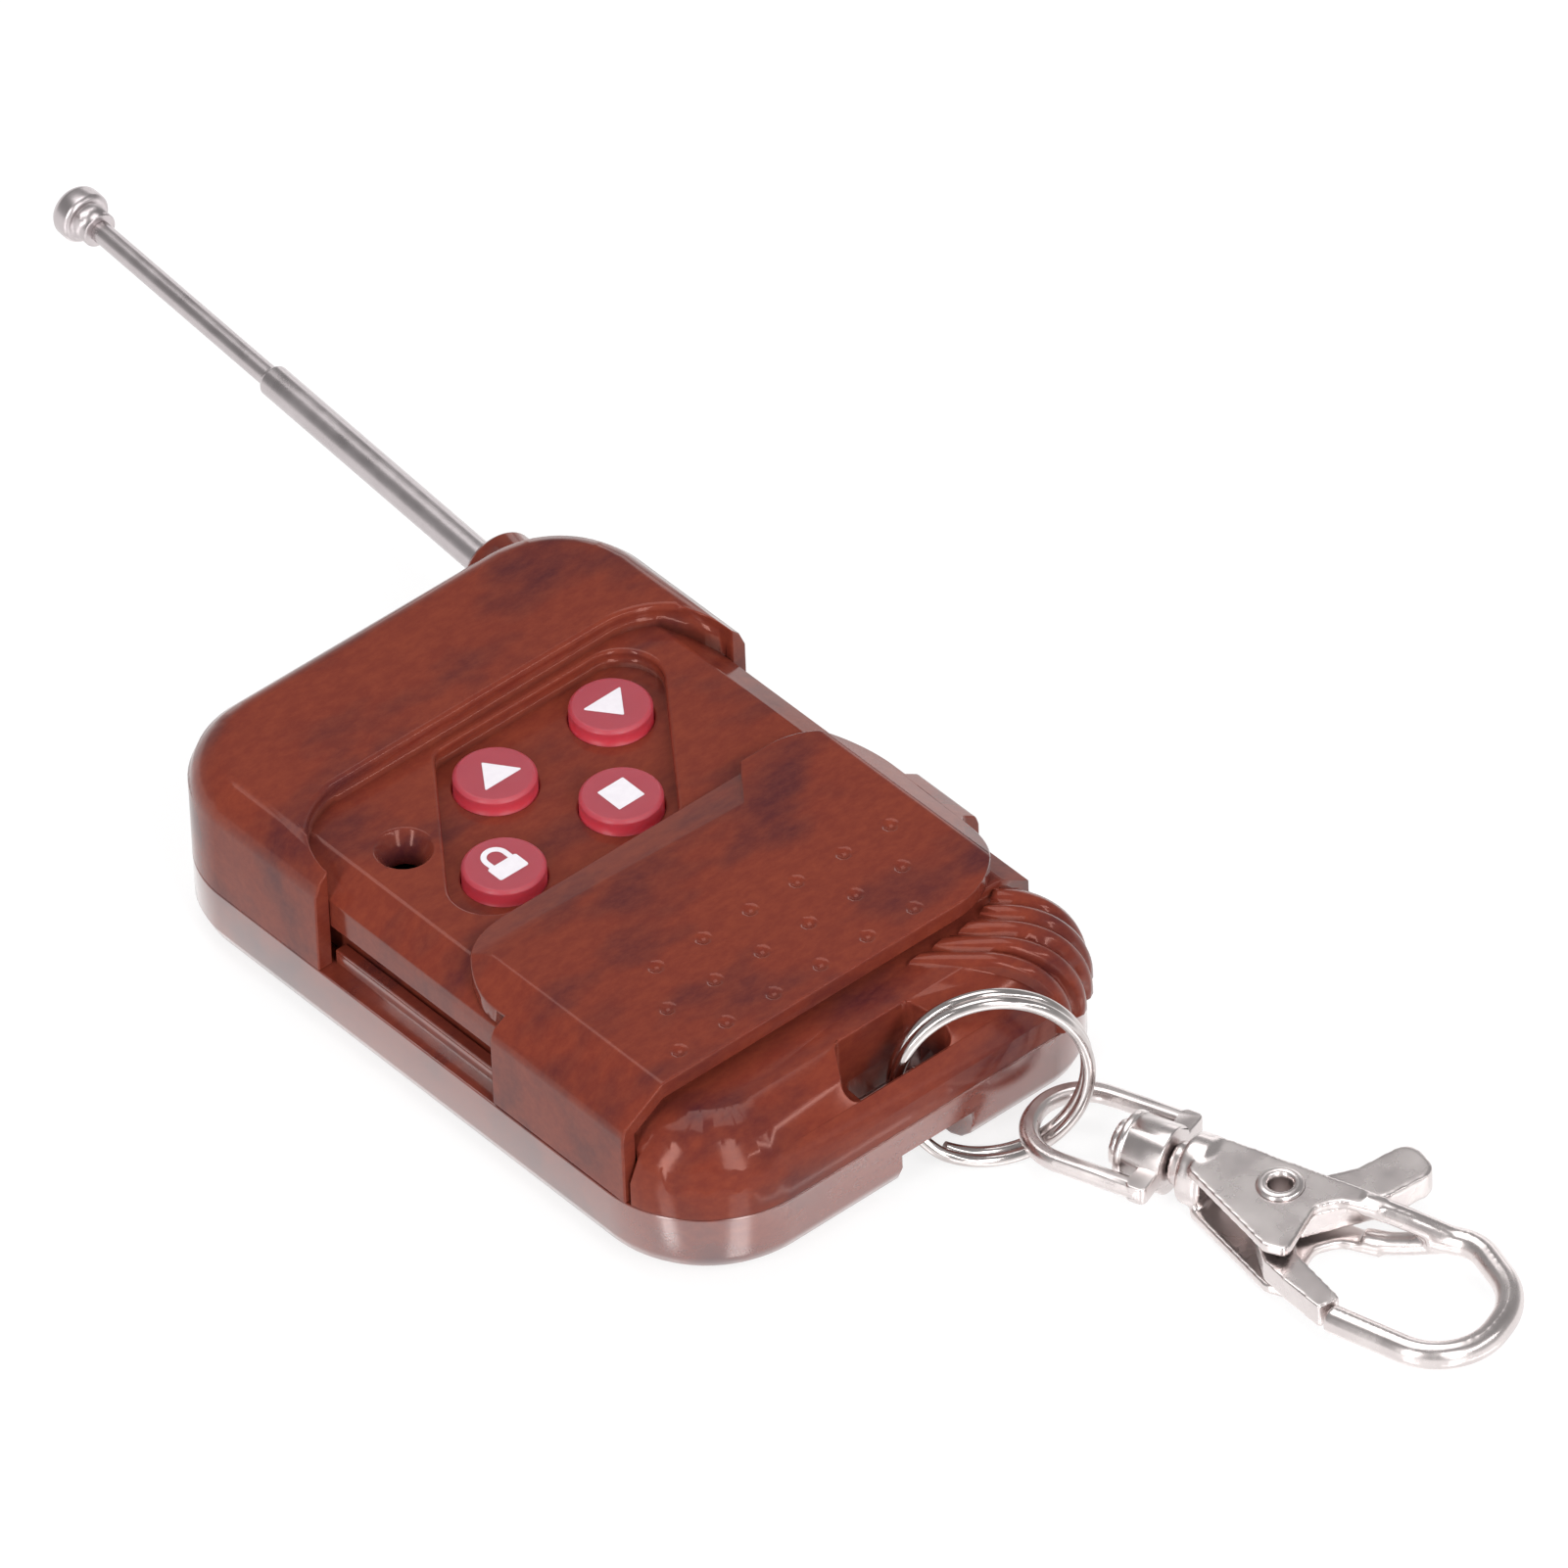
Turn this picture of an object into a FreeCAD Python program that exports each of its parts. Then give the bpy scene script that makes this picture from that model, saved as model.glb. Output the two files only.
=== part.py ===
import FreeCAD, Part
import math
import os

os.makedirs("parts", exist_ok=True)

# Frame: the remote lies on its back, X across, Y toward the aerial, Z up through the buttons.
# The origin is the centre of the back face. All lengths in millimetres.

# Battery: a 27-type cell lies across the case
CELL_R, CELL_L = 4.0, 28.0
SIDE_ROOM = 5.5

# Case
WIDTH = CELL_L + 2 * SIDE_ROOM
LENGTH = 58.0
PARTING = 5.8
DECK = 13.1
CAP_RISE = 1.8
END_DROP = 0.9
CAP_ROUND = 3.2
END_ROUND = 5.4
WALL = 1.4
SIDE_WALL = 3.5
TOP_WALL = 1.2
BOTTOM_ROUND = 3.0
R_BL, R_BR, R_TR, R_TL = 9.0, 6.5, 8.0, 8.0
PART_GAP = 0.02
HX, HY = WIDTH / 2, LENGTH / 2
CAP_TOP = DECK + CAP_RISE
END_TOP = DECK - END_DROP
ROOM_X = HX - SIDE_WALL
ROOM_Y0 = -HY + 8.8
ROOM_Y1 = HY - 1.7

# Cap step and slide cover
CAP_DEPTH = 12.6
CAP_SIDE_DEPTH = 18.7
CAP_CORNER = 6.2
TRAVEL = 16.8
COVER_GAP = 0.1
COVER_RISE = 1.55
COVER_LIP = 1.2
COVER_CORNER = 7.0
FACET_DROP = 1.55
SKIRT = 1.3
FOLD = 3.8
CAP_EDGE = HY - CAP_DEPTH
CAP_SIDE = HY - CAP_SIDE_DEPTH
COVER_TOP = DECK + COVER_RISE
TRACK_X = HX - SKIRT
FOLD_X = HX - FOLD
GROOVE_X = TRACK_X - COVER_LIP
GROOVE_Z0, GROOVE_Z1 = PARTING + 1.3, PARTING + 3.3
COVER_Y0 = -HY + 7.2
COVER_Y1 = CAP_EDGE - 0.2 - TRAVEL
SKIRT_Y1 = CAP_SIDE - 1.5 - TRAVEL
SKIRT_BR = -HY + 14.9
DOT_PITCH, DOT_ROW, DOT_SHIFT = 4.23, 3.72, -2.18
DOT_R, DOT_DEPTH = 0.56, 0.28

# Buttons, each a cap over a push switch
FLOOR_DROP = 1.5
FLOOR_T = 1.1
BUTTON_D = 5.9
BUTTON_DROP = 0.3
BUTTON_FIT = 0.08
FLOOR = DECK - FLOOR_DROP
BUTTON_TOP = DECK - BUTTON_DROP
ROW_TOP, ROW_LOW = CAP_EDGE - 4.9, CAP_EDGE - 12.4
BUTTONS = {"button_up": (8.2, ROW_TOP), "button_down": (-2.3, ROW_TOP),
           "button_stop": (2.7, ROW_LOW), "button_lock": (-7.9, ROW_LOW)}
LAMP = (-12.1, ROW_TOP - 1.9)
SLANT = 0.744

# Circuit board and its switches
PCB_Z0 = PARTING + 0.6
PCB_T = 1.0
PCB_Z1 = PCB_Z0 + PCB_T
SWITCH_W, SWITCH_H = 4.5, 1.6
PLUNGER_R = 1.1
SWITCH_TOP = PCB_Z1 + SWITCH_H
FLANGE_TOP = FLOOR - FLOOR_T - 0.05
PLUNGER_TOP = FLANGE_TOP - 0.75
BOARD_Y0 = ROW_LOW - 5.5
BOARD_Y1 = HY - 3.8

# Screws and posts
SCREW_R, HEAD_R = 0.95, 1.8
SCREWS = [(-HX + 6.5, HY - 7.2), (7.6, HY - 6.6), (-HX + 8.7, -HY + 7.4), (HX - 8.5, -HY + 7.4)]
SCREW_END = PCB_Z1 + 2.0
POST = SCREW_R + 1.05

# Battery seat
CELL_Y = BOARD_Y0 - 3.5 - CELL_R
CELL_Z = WALL + 0.3 + CELL_R
PLATE_T = 0.3
PLATE_X = ROOM_X - 0.15
SPRING_R, SPRING_W, SPRING_TURNS = 2.3, 0.25, 2.5

# Aerial: axis point at the mouth of its boss, and the lean of the axis
AERIAL_IN = 5.1
BOSS_REACH = 2.5
BOSS_R = 3.0
LEAN = 4.0
MID_R, TIP_R, BASE_R = 1.2, 0.8, 1.5
SLIDE_FIT = 0.05
MID_OUT, TIP_OUT = 26.3, 47.0
MID_TRAVEL, TIP_TRAVEL = 25.0, 20.4
SHOE_L = 2.4
KNOB_R = 2.0
AERIAL = (HX - AERIAL_IN, HY + BOSS_REACH, PARTING + 2.8)

# Key slot and its bar
BAR = 0.9
SLOT_W = 3.5
BAR_IN = -HY + BAR
SLOT_IN = BAR_IN + SLOT_W
RELIEF_OUT, RELIEF_IN = 2.6, 5.4

# Split ring: a wound double coil that threads the slot
RING_R, RING_W, RING_GAP = 6.7, 0.45, 0.04
RING_AZ, RING_TILT = 238.0, 5.0
RING_SPLIT = 225.0
RING_PASS = (0.45, BAR_IN + 1.4)

# Swivel clasp
COLLAR_R = 2.6
CLASP_YAW = 20.0
LOOP_REACH = 10.4
BOW_R = 0.7
HOOK_R = 1.0
PLATE_IN, PLATE_OUT = 1.45, 2.25
RIVET_R, RIVET_HOLE = 1.12, 0.72
GATE_REACH = 12.0
FLOOR_GAP = 0.05

V = FreeCAD.Vector


def box(x0, x1, y0, y1, z0, z1):
    return Part.makeBox(x1 - x0, y1 - y0, z1 - z0, V(x0, y0, z0))


def cyl(x, y, z0, z1, r):
    return Part.makeCylinder(r, z1 - z0, V(x, y, z0))


def cone(x, y, z0, z1, r0, r1):
    return Part.makeCone(r0, r1, z1 - z0, V(x, y, z0))


def rounded(points, radii, z, closed=True):
    """A wire through the points, each corner rounded by its own radius."""
    n = len(points)
    ends = []
    for i in range(n):
        b = points[i]
        pb = V(b[0], b[1], z)
        r = radii[i]
        if r < 1e-6 or (not closed and i in (0, n - 1)):
            ends.append((pb, None, pb))
            continue
        a, c = points[i - 1], points[(i + 1) % n]
        u = (V(a[0], a[1], z) - pb).normalize()
        w = (V(c[0], c[1], z) - pb).normalize()
        half = math.acos(max(-1, min(1, u.dot(w)))) / 2
        t = r / math.tan(half)
        centre = pb + (u + w).normalize() * (r / math.sin(half))
        ends.append((pb + u * t, centre + (pb - centre).normalize() * r, pb + w * t))
    edges = []
    for i in range(n):
        p0, mid, p1 = ends[i]
        if mid is not None:
            edges.append(Part.Arc(p0, mid, p1).toShape())
        if not closed and i == n - 1:
            break
        nxt = ends[(i + 1) % n][0]
        if (nxt - p1).Length > 1e-6:
            edges.append(Part.makeLine(p1, nxt))
    return Part.Wire(edges)


def slab(points, radii, z0, z1):
    return Part.Face(rounded(points, radii, z0)).extrude(V(0, 0, z1 - z0))


def outline(inset, z0, z1, y1=None):
    """The case's plan, drawn in by inset, and cut straight at y1 where that is given."""
    x, y = HX - inset, HY - inset
    top = y if y1 is None else y1
    turn = [R_TR - inset, R_TL - inset] if y1 is None else [0, 0]
    return slab([(-x, -y), (x, -y), (x, top), (-x, top)], [R_BL - inset, R_BR - inset] + turn, z0, z1)


def along_y(points, y0, y1):
    """A section drawn in X and Z, run along Y."""
    wire = Part.makePolygon([V(x, y0, z) for x, z in points] + [V(points[0][0], y0, points[0][1])])
    return Part.Face(wire).extrude(V(0, y1 - y0, 0))


def mirror_section(half):
    return half + [(-x, z) for x, z in reversed(half)]


def fillet(shape, radius, test):
    return shape.makeFillet(radius, [e for e in shape.Edges if test(e)])


def at_height(e, z):
    return all(abs(v.Z - z) < 1e-4 for v in e.Vertexes) and e.BoundBox.ZLength < 1e-4


def eased(shape, radius, z, way, test):
    """Level edges at z rounded by three flats that touch one arc; way is 1 where the body lies above."""
    big = radius * (2 - math.sqrt(2))
    small = radius * (math.tan(math.pi / 8) - math.tan(math.pi / 16))
    shape = shape.makeChamfer(big, [e for e in shape.Edges if at_height(e, z) and test(e)])
    edges = [e for e in shape.Edges if (at_height(e, z) or at_height(e, z + way * big)) and test(e)]
    return shape.makeChamfer(small, edges)


def section(centre, along, up, r, sides):
    """A many-sided wire section at a point, with a flat facing up."""
    side = along.cross(up).normalize()
    lift = side.cross(along).normalize()
    reach = r / math.cos(math.pi / sides)
    turn = math.pi / sides
    pts = []
    for i in range(sides):
        t = turn + 2 * math.pi * i / sides
        pts.append(centre + side * (reach * math.sin(t)) + lift * (reach * math.cos(t)))
    return Part.makePolygon(pts + [pts[0]])


def rod(path, r, sides, up):
    """A wire of many sides along the path."""
    edge = path.OrderedEdges[0]
    start = edge.valueAt(edge.FirstParameter)
    along = edge.tangentAt(edge.FirstParameter)
    if edge.Orientation == "Reversed":
        start = edge.valueAt(edge.LastParameter)
        along = edge.tangentAt(edge.LastParameter) * -1
    return path.makePipeShell([section(start, along, up, r, sides)], True, False)


def save(name, shape):
    if shape.ShapeType == "Compound" and len(shape.Solids) == 1:
        shape = shape.Solids[0]
    assert shape.isValid(), name
    shape.exportStep("parts/" + name + ".step")


# Aerial frame
A_DIR = V(math.sin(math.radians(LEAN)), math.cos(math.radians(LEAN)), 0)
A_PT = V(*AERIAL)


def on_aerial(s):
    return A_PT + A_DIR * s


def tube(s0, s1, r, bore=0.0):
    body = Part.makeCylinder(r, s1 - s0, on_aerial(s0), A_DIR)
    if bore > 0:
        body = body.cut(Part.makeCylinder(bore, s1 - s0 + 2, on_aerial(s0 - 1), A_DIR))
    return body


def turned(profile):
    """A revolve about the aerial's axis of (station, radius) points."""
    pts = [on_aerial(s) + V(0, 0, r) for s, r in profile]
    return Part.Face(Part.makePolygon(pts + [pts[0]])).revolve(A_PT, A_DIR, 360)


BASE_IN = -MID_TRAVEL - 4.5

# Upper shell: cap, channel for the cover, grooved deck and end block
cap = eased(outline(0, PARTING, CAP_TOP), CAP_ROUND, CAP_TOP, -1, lambda e: True)
channel_x = TRACK_X + 0.05
channel = slab([(-channel_x, -HY - 5), (channel_x, -HY - 5), (channel_x, CAP_EDGE), (-channel_x, CAP_EDGE)],
               [0, 0, CAP_CORNER, CAP_CORNER], PARTING - 1, CAP_TOP + 5)
cap = cap.cut(channel).cut(box(-HX - 5, HX + 5, -HY - 5, CAP_SIDE, PARTING - 1, CAP_TOP + 5))

end_block = outline(0, PARTING, END_TOP, y1=COVER_Y0 + 9)
end_block = eased(end_block, END_ROUND, END_TOP, -1, lambda e: e.BoundBox.YMin < COVER_Y0 + 8)
end_plan = slab([(-HX - 1, -HY - 1), (HX + 1, -HY - 1), (HX + 1, SKIRT_BR - 0.2), (TRACK_X - 0.3, SKIRT_BR - 0.2),
                 (TRACK_X - 0.3, COVER_Y0 - 0.25), (-HX - 1, COVER_Y0 - 0.25)],
                [0, 0, 0, 0.4, COVER_CORNER + 0.2, 0], PARTING - 1, END_TOP + 1)
end_mid = box(-TRACK_X, TRACK_X, -HY - 5, COVER_Y0 + 1.2, GROOVE_Z1, END_TOP + 1)
end_mid = end_mid.fuse(box(-GROOVE_X, GROOVE_X, -HY - 5, COVER_Y0 + 1.2, PARTING - 1, END_TOP + 1))
end_block = end_block.common(end_plan.fuse(end_mid))

deck_half = [(GROOVE_X, PARTING), (GROOVE_X, GROOVE_Z1), (TRACK_X, GROOVE_Z1), (TRACK_X, DECK - FACET_DROP), (FOLD_X, DECK)]
deck = along_y(mirror_section(deck_half), COVER_Y0 + 1.2, CAP_EDGE + 3)
deck = fillet(deck, 0.9, lambda e: e.BoundBox.YLength > 20 and abs(e.BoundBox.ZMax - DECK) < 0.01)
upper = cap.fuse(deck.common(outline(0.4, PARTING, DECK + 1))).fuse(end_block)

# Grip ribs: five half-round flutes that run out over the shoulder at the ring's corner
RIB_R, RIB_SINK, RIB_PITCH, RIB_FIRST, RIB_COUNT = 0.8, 0.35, 1.62, -4.3, 5
RIB_RUN = 5.5
RIB_TURN = 42.9
rib_dir = V(math.cos(math.radians(RIB_TURN)), -math.sin(math.radians(RIB_TURN)), 0)
rib_side = V(math.sin(math.radians(RIB_TURN)), math.cos(math.radians(RIB_TURN)), 0)
corner = V(HX - R_BR, -HY + R_BR, 0)
rib_arc = END_ROUND - RIB_SINK
first_rib = corner.dot(rib_side) + RIB_FIRST + 6.85
ribs = []
for k in range(RIB_COUNT):
    across = first_rib - RIB_PITCH * k
    off = across - corner.dot(rib_side)
    reach = corner.dot(rib_dir) + math.sqrt(max(R_BR ** 2 - off ** 2, 0.5))
    foot = rib_side * across + rib_dir * (reach - END_ROUND)
    p0 = foot - rib_dir * RIB_RUN + V(0, 0, END_TOP - RIB_SINK)
    p1 = foot + V(0, 0, END_TOP - RIB_SINK)
    lean = math.sqrt(0.5)
    p2 = foot + rib_dir * (rib_arc * lean) + V(0, 0, END_TOP - END_ROUND + rib_arc * lean)
    p3 = foot + rib_dir * rib_arc + V(0, 0, END_TOP - END_ROUND)
    p4 = V(p3.x, p3.y, PARTING + 0.25)
    path = Part.Wire([Part.makeLine(p0, p1), Part.Arc(p1, p2, p3).toShape(), Part.makeLine(p3, p4)])
    ribs.append(rod(path, RIB_R, 10, rib_side))
rib_area = end_plan.common(box(0, HX + 2, -HY - 2, SKIRT_BR, PARTING, END_TOP + 1))
for rib in ribs:
    upper = upper.fuse(rib.common(rib_area))

# Aerial boss: a round-topped hood at the case's end
hood = PARTING + 3.3
boss_sec = Part.Wire([Part.Arc(V(BOSS_R, 0, hood), V(0, 0, hood + BOSS_R), V(-BOSS_R, 0, hood)).toShape(),
                      Part.makeLine(V(-BOSS_R, 0, hood), V(-BOSS_R, 0, PARTING)),
                      Part.makeLine(V(-BOSS_R, 0, PARTING), V(BOSS_R, 0, PARTING)),
                      Part.makeLine(V(BOSS_R, 0, PARTING), V(BOSS_R, 0, hood))])
boss_l = BOSS_REACH + 5.5
boss = Part.Face(boss_sec).extrude(V(0, boss_l, 0))
boss = boss.makeChamfer(0.6, [e for e in boss.Edges if e.BoundBox.YMin > boss_l - 0.1 and e.BoundBox.ZMax > PARTING + 0.1])
boss.rotate(V(0, 0, 0), V(0, 0, 1), -LEAN)
boss.translate(V(AERIAL[0], AERIAL[1], 0) - A_DIR * boss_l)
upper = upper.fuse(boss)

# Hollow inside, with two side pockets under the end block
shelf_plan = [(-ROOM_X, ROOM_Y0), (ROOM_X, ROOM_Y0), (ROOM_X, ROOM_Y1), (-ROOM_X, ROOM_Y1)]
hollow = slab(shelf_plan, [0, 0, 6, 6], PARTING - 1, DECK - TOP_WALL)
hollow = hollow.common(along_y(mirror_section([(ROOM_X, PARTING - 1), (ROOM_X, DECK - TOP_WALL - 1.4), (FOLD_X - 1.5, DECK - TOP_WALL)]),
                               -HY, HY))
hollow = hollow.fuse(slab([(-ROOM_X + 1, CAP_EDGE + 1.4), (ROOM_X - 1, CAP_EDGE + 1.4), (ROOM_X - 1, ROOM_Y1 - 1.1), (-ROOM_X + 1, ROOM_Y1 - 1.1)],
                          [0, 0, 6, 6], DECK - 2, CAP_TOP - 1.3))
for x0, x1 in ((SCREWS[2][0] - 3.7, SCREWS[2][0] + 3.7), (SCREWS[3][0] - 2.6, SCREWS[3][0] + 2.6)):
    hollow = hollow.fuse(box(x0, x1, SLOT_IN - 0.6, ROOM_Y0 + 1, PARTING - 1, END_TOP - 2))
upper = upper.cut(hollow)

# Button recess: a slanted tub whose floor the buttons come through
rec_y0, rec_y1 = COVER_Y1 + 0.4, CAP_EDGE - 0.7


def rec_x(y, left):
    return -8.45 + SLANT * (y - ROW_TOP + 1.55) if left else 8.2 + SLANT * (y - ROW_LOW - 1.0)


def tub_plan(grow):
    return [(rec_x(rec_y0, True) - 1.2 * grow, rec_y0 - 0.9 * grow), (rec_x(rec_y0, False) + 0.6 * grow, rec_y0 - 0.9 * grow),
            (rec_x(rec_y1, False) + 1.2 * grow, rec_y1 + 0.9 * grow), (rec_x(rec_y1, True) - 0.6 * grow, rec_y1 + 0.9 * grow)]


tub = slab(tub_plan(1), [3.9, 2.1, 3.9, 2.1], FLOOR - FLOOR_T, DECK - TOP_WALL + 0.2)
tub = tub.common(box(-ROOM_X - 0.2, ROOM_X + 0.2, -HY, HY, 0, CAP_TOP))
recess = slab(tub_plan(0), [3.0, 1.2, 3.0, 1.2], FLOOR, CAP_TOP)
recess_rim = Part.Face(rounded(tub_plan(0), [3.0, 1.2, 3.0, 1.2], FLOOR))
upper = upper.fuse(tub).cut(recess)

# Lamp window
upper = upper.fuse(cyl(LAMP[0], LAMP[1], FLOOR - FLOOR_T, DECK - TOP_WALL + 0.2, 2.3))
upper = upper.cut(cone(LAMP[0], LAMP[1], DECK - 1.4, DECK, 1.2, 2.1)).cut(cyl(LAMP[0], LAMP[1], PARTING, DECK - 1.3, 1.2))

# Screw posts, button holes, cell keeper, aerial bore and key slot
for x, y in SCREWS:
    top = CAP_TOP - 1.0 if y > 0 else END_TOP - 1.0
    upper = upper.fuse(box(x - POST, x + POST, y - POST, y + POST, PARTING + PART_GAP, top))
for x, y in SCREWS:
    upper = upper.cut(cyl(x, y, PARTING - 1, SCREW_END + 0.5, SCREW_R + 0.02))
for x, y in BUTTONS.values():
    upper = upper.cut(cyl(x, y, PARTING, DECK + 1, BUTTON_D / 2 + BUTTON_FIT))
upper = upper.fuse(box(-0.6, 0.6, CELL_Y - 2.0, CELL_Y + 2.0, CELL_Z + CELL_R + 0.05, DECK - TOP_WALL + 0.2))
upper = upper.cut(tube(BASE_IN - 1, -0.35, BASE_R + 0.04)).cut(tube(-2, 4, MID_R + 0.07))
slot_top = slab([(-5.0, BAR_IN), (5.2, BAR_IN), (3.6, SLOT_IN), (-2.9, SLOT_IN)], [0.7, 0.7, 0.8, 0.8], PARTING + 2.2, END_TOP + 2)
slot_low = slab([(-2.4, BAR_IN), (4.6, BAR_IN), (4.2, SLOT_IN), (-2.2, SLOT_IN)], [0.6, 0.6, 0.6, 0.6], -1, PARTING + 2.4)
upper = upper.cut(slot_top).cut(slot_low).removeSplitter()
save("upper_shell", upper)

# Lower shell: dished back, track rails, posts, cell cradle and aerial saddle
lower = eased(outline(0, 0, PARTING), BOTTOM_ROUND, 0, 1, lambda e: True)
lower = lower.cut(slab([(x, y) for x, y in shelf_plan], [0, 0, 6, 6], WALL, PARTING + 1).common(outline(SIDE_WALL - 0.1, WALL, PARTING + 1)))
for side in (-1, 1):
    x0, x1 = sorted((side * (GROOVE_X + 0.1), side * (TRACK_X - COVER_GAP)))
    y0 = COVER_Y0 - 0.2 if side < 0 else SKIRT_BR - 0.1
    lower = lower.fuse(box(x0, x1, y0, CAP_SIDE - 0.1, PARTING - 0.5, GROOVE_Z0))
for x, y in SCREWS:
    if y > 0:
        lower = lower.fuse(box(x - POST - 0.4, x + POST + 0.4, y - POST - 0.4, y + POST + 0.4, WALL - 0.5, PARTING))
    lower = lower.cut(cyl(x, y, -1, 1.2, HEAD_R + 0.25)).cut(cyl(x, y, -1, PARTING + 1, SCREW_R + 0.15))
for x, y in ((-ROOM_X + 2.2, BOARD_Y0 + 1.0), (ROOM_X - 6.4, BOARD_Y0 + 1.0), (-2.0, BOARD_Y1 - 1.4)):
    lower = lower.fuse(box(x - 0.9, x + 0.9, y - 0.9, y + 0.9, WALL - 0.1, PCB_Z0))
for x in (-CELL_L * 0.3, CELL_L * 0.3):
    saddle = box(x - 0.6, x + 0.6, CELL_Y - CELL_R - 0.9, CELL_Y + CELL_R + 0.9, WALL - 0.1, PARTING - 0.3)
    lower = lower.fuse(saddle.cut(Part.makeCylinder(CELL_R + 0.05, CELL_L, V(-CELL_L / 2, CELL_Y, CELL_Z), V(1, 0, 0))))
for side in (-1, 1):
    x0, x1 = sorted((side * (PLATE_X - PLATE_T - 0.05), side * (PLATE_X - PLATE_T - 0.55)))
    for y0, y1 in ((CELL_Y - 4.2, CELL_Y - 2.9), (CELL_Y + 2.9, CELL_Y + 4.2)):
        lower = lower.fuse(box(x0, x1, y0, y1, WALL - 0.1, PARTING - 0.3))
rest = on_aerial(BASE_IN * 0.46)
stand = box(rest.x - 1.9, rest.x + 1.9, rest.y - 0.7, rest.y + 0.7, WALL - 0.1, AERIAL[2] - 0.3)
lower = lower.fuse(stand.cut(tube(BASE_IN, 0, BASE_R + 0.03)))
relief_sec = [(-HY - 2, -1), (-HY - 2, RELIEF_OUT), (-HY - 0.4, RELIEF_OUT), (BAR_IN, RELIEF_IN), (SLOT_IN, RELIEF_IN), (SLOT_IN, -1)]
relief_x0 = RING_PASS[0] - 1.3
relief = Part.Face(Part.makePolygon([V(relief_x0, y, z) for y, z in relief_sec + relief_sec[:1]])).extrude(V(6.3, 0, 0))
lower = lower.cut(slot_low).cut(relief).removeSplitter()
save("lower_shell", lower)

# Housing screws
screws = []
for x, y in SCREWS:
    head = cyl(x, y, 0.2, 1.2, HEAD_R)
    screws.append(head.fuse(cyl(x, y, 1.2, SCREW_END, SCREW_R)).removeSplitter())
save("housing_screws", Part.makeCompound(screws))

# Circuit board, notched round the two upper posts
notch_y = SCREWS[0][1] - 2.9
notch_x = SCREWS[1][0] - 2.8
board = slab([(-ROOM_X + 0.7, BOARD_Y0), (10.7, BOARD_Y0), (10.7, notch_y), (notch_x, notch_y), (notch_x, BOARD_Y1),
              (SCREWS[0][0] + 2.9, BOARD_Y1), (SCREWS[0][0] + 2.9, notch_y), (-ROOM_X + 0.7, notch_y)],
             [0] * 8, PCB_Z0, PCB_Z1)
save("circuit_board", board)

# Push switches: the bases as one group, then a cap and a plunger for each button
bases = []
for x, y in BUTTONS.values():
    half = SWITCH_W / 2
    base = box(x - half, x + half, y - half, y + half, PCB_Z1, SWITCH_TOP)
    base = base.cut(cyl(x, y, PCB_Z1 + 0.15, SWITCH_TOP + 1, PLUNGER_R + 0.05))
    for dx in (-1.5, 1.5):
        for side in (-1, 1):
            y0, y1 = sorted((y + side * (half - 0.05), y + side * (half + 0.5)))
            base = base.fuse(box(x + dx - 0.35, x + dx + 0.35, y0, y1, PCB_Z1, PCB_Z1 + 0.3))
    bases.append(base.removeSplitter())
save("switch_bases", Part.makeCompound(bases))

for name, (x, y) in BUTTONS.items():
    r = BUTTON_D / 2
    half = r + 0.4
    cap_piece = box(x - half, x + half, y - half, y + half, PLUNGER_TOP, FLANGE_TOP).fuse(cyl(x, y, FLANGE_TOP - 0.1, BUTTON_TOP - 0.25, r))
    cap_piece = cap_piece.fuse(cone(x, y, BUTTON_TOP - 0.25, BUTTON_TOP, r, r - 0.25)).removeSplitter()
    save(name + "_cap", cap_piece)
    save(name + "_plunger", cyl(x, y, PCB_Z1 + 0.6, PLUNGER_TOP, PLUNGER_R))

# Parts on the board
lamp = box(LAMP[0] - 1.4, LAMP[0] + 1.4, LAMP[1] - 1.1, LAMP[1] + 1.1, PCB_Z1, PCB_Z1 + 0.6)
lamp = lamp.fuse(cyl(LAMP[0], LAMP[1], PCB_Z1 + 0.6, PCB_Z1 + 1.9, 1.0)).fuse(cone(LAMP[0], LAMP[1], PCB_Z1 + 1.9, PCB_Z1 + 2.5, 1.0, 0.5))
save("status_lamp", lamp.removeSplitter())


def leaded_chip(cx, cy, lx, ly, h, pins, pitch):
    """A moulded body with bent legs down both long sides."""
    chip = box(cx - lx / 2, cx + lx / 2, cy - ly / 2, cy + ly / 2, PCB_Z1 + 0.15, PCB_Z1 + h)
    for i in range(pins):
        x = cx + (i - (pins - 1) / 2) * pitch
        leg = [(ly / 2 - 0.05, 0.4 * h), (ly / 2 - 0.05, 0.4 * h + 0.2), (ly / 2 + 0.5, 0.4 * h + 0.2), (ly / 2 + 0.5, 0.2),
               (ly / 2 + 1.0, 0.2), (ly / 2 + 1.0, 0), (ly / 2 + 0.3, 0), (ly / 2 + 0.3, 0.4 * h)]
        for side in (-1, 1):
            pts = [V(x - 0.2, cy + side * y, PCB_Z1 + z) for y, z in leg]
            chip = chip.fuse(Part.Face(Part.makePolygon(pts + [pts[0]])).extrude(V(0.4, 0, 0)))
    return chip.removeSplitter()


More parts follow.
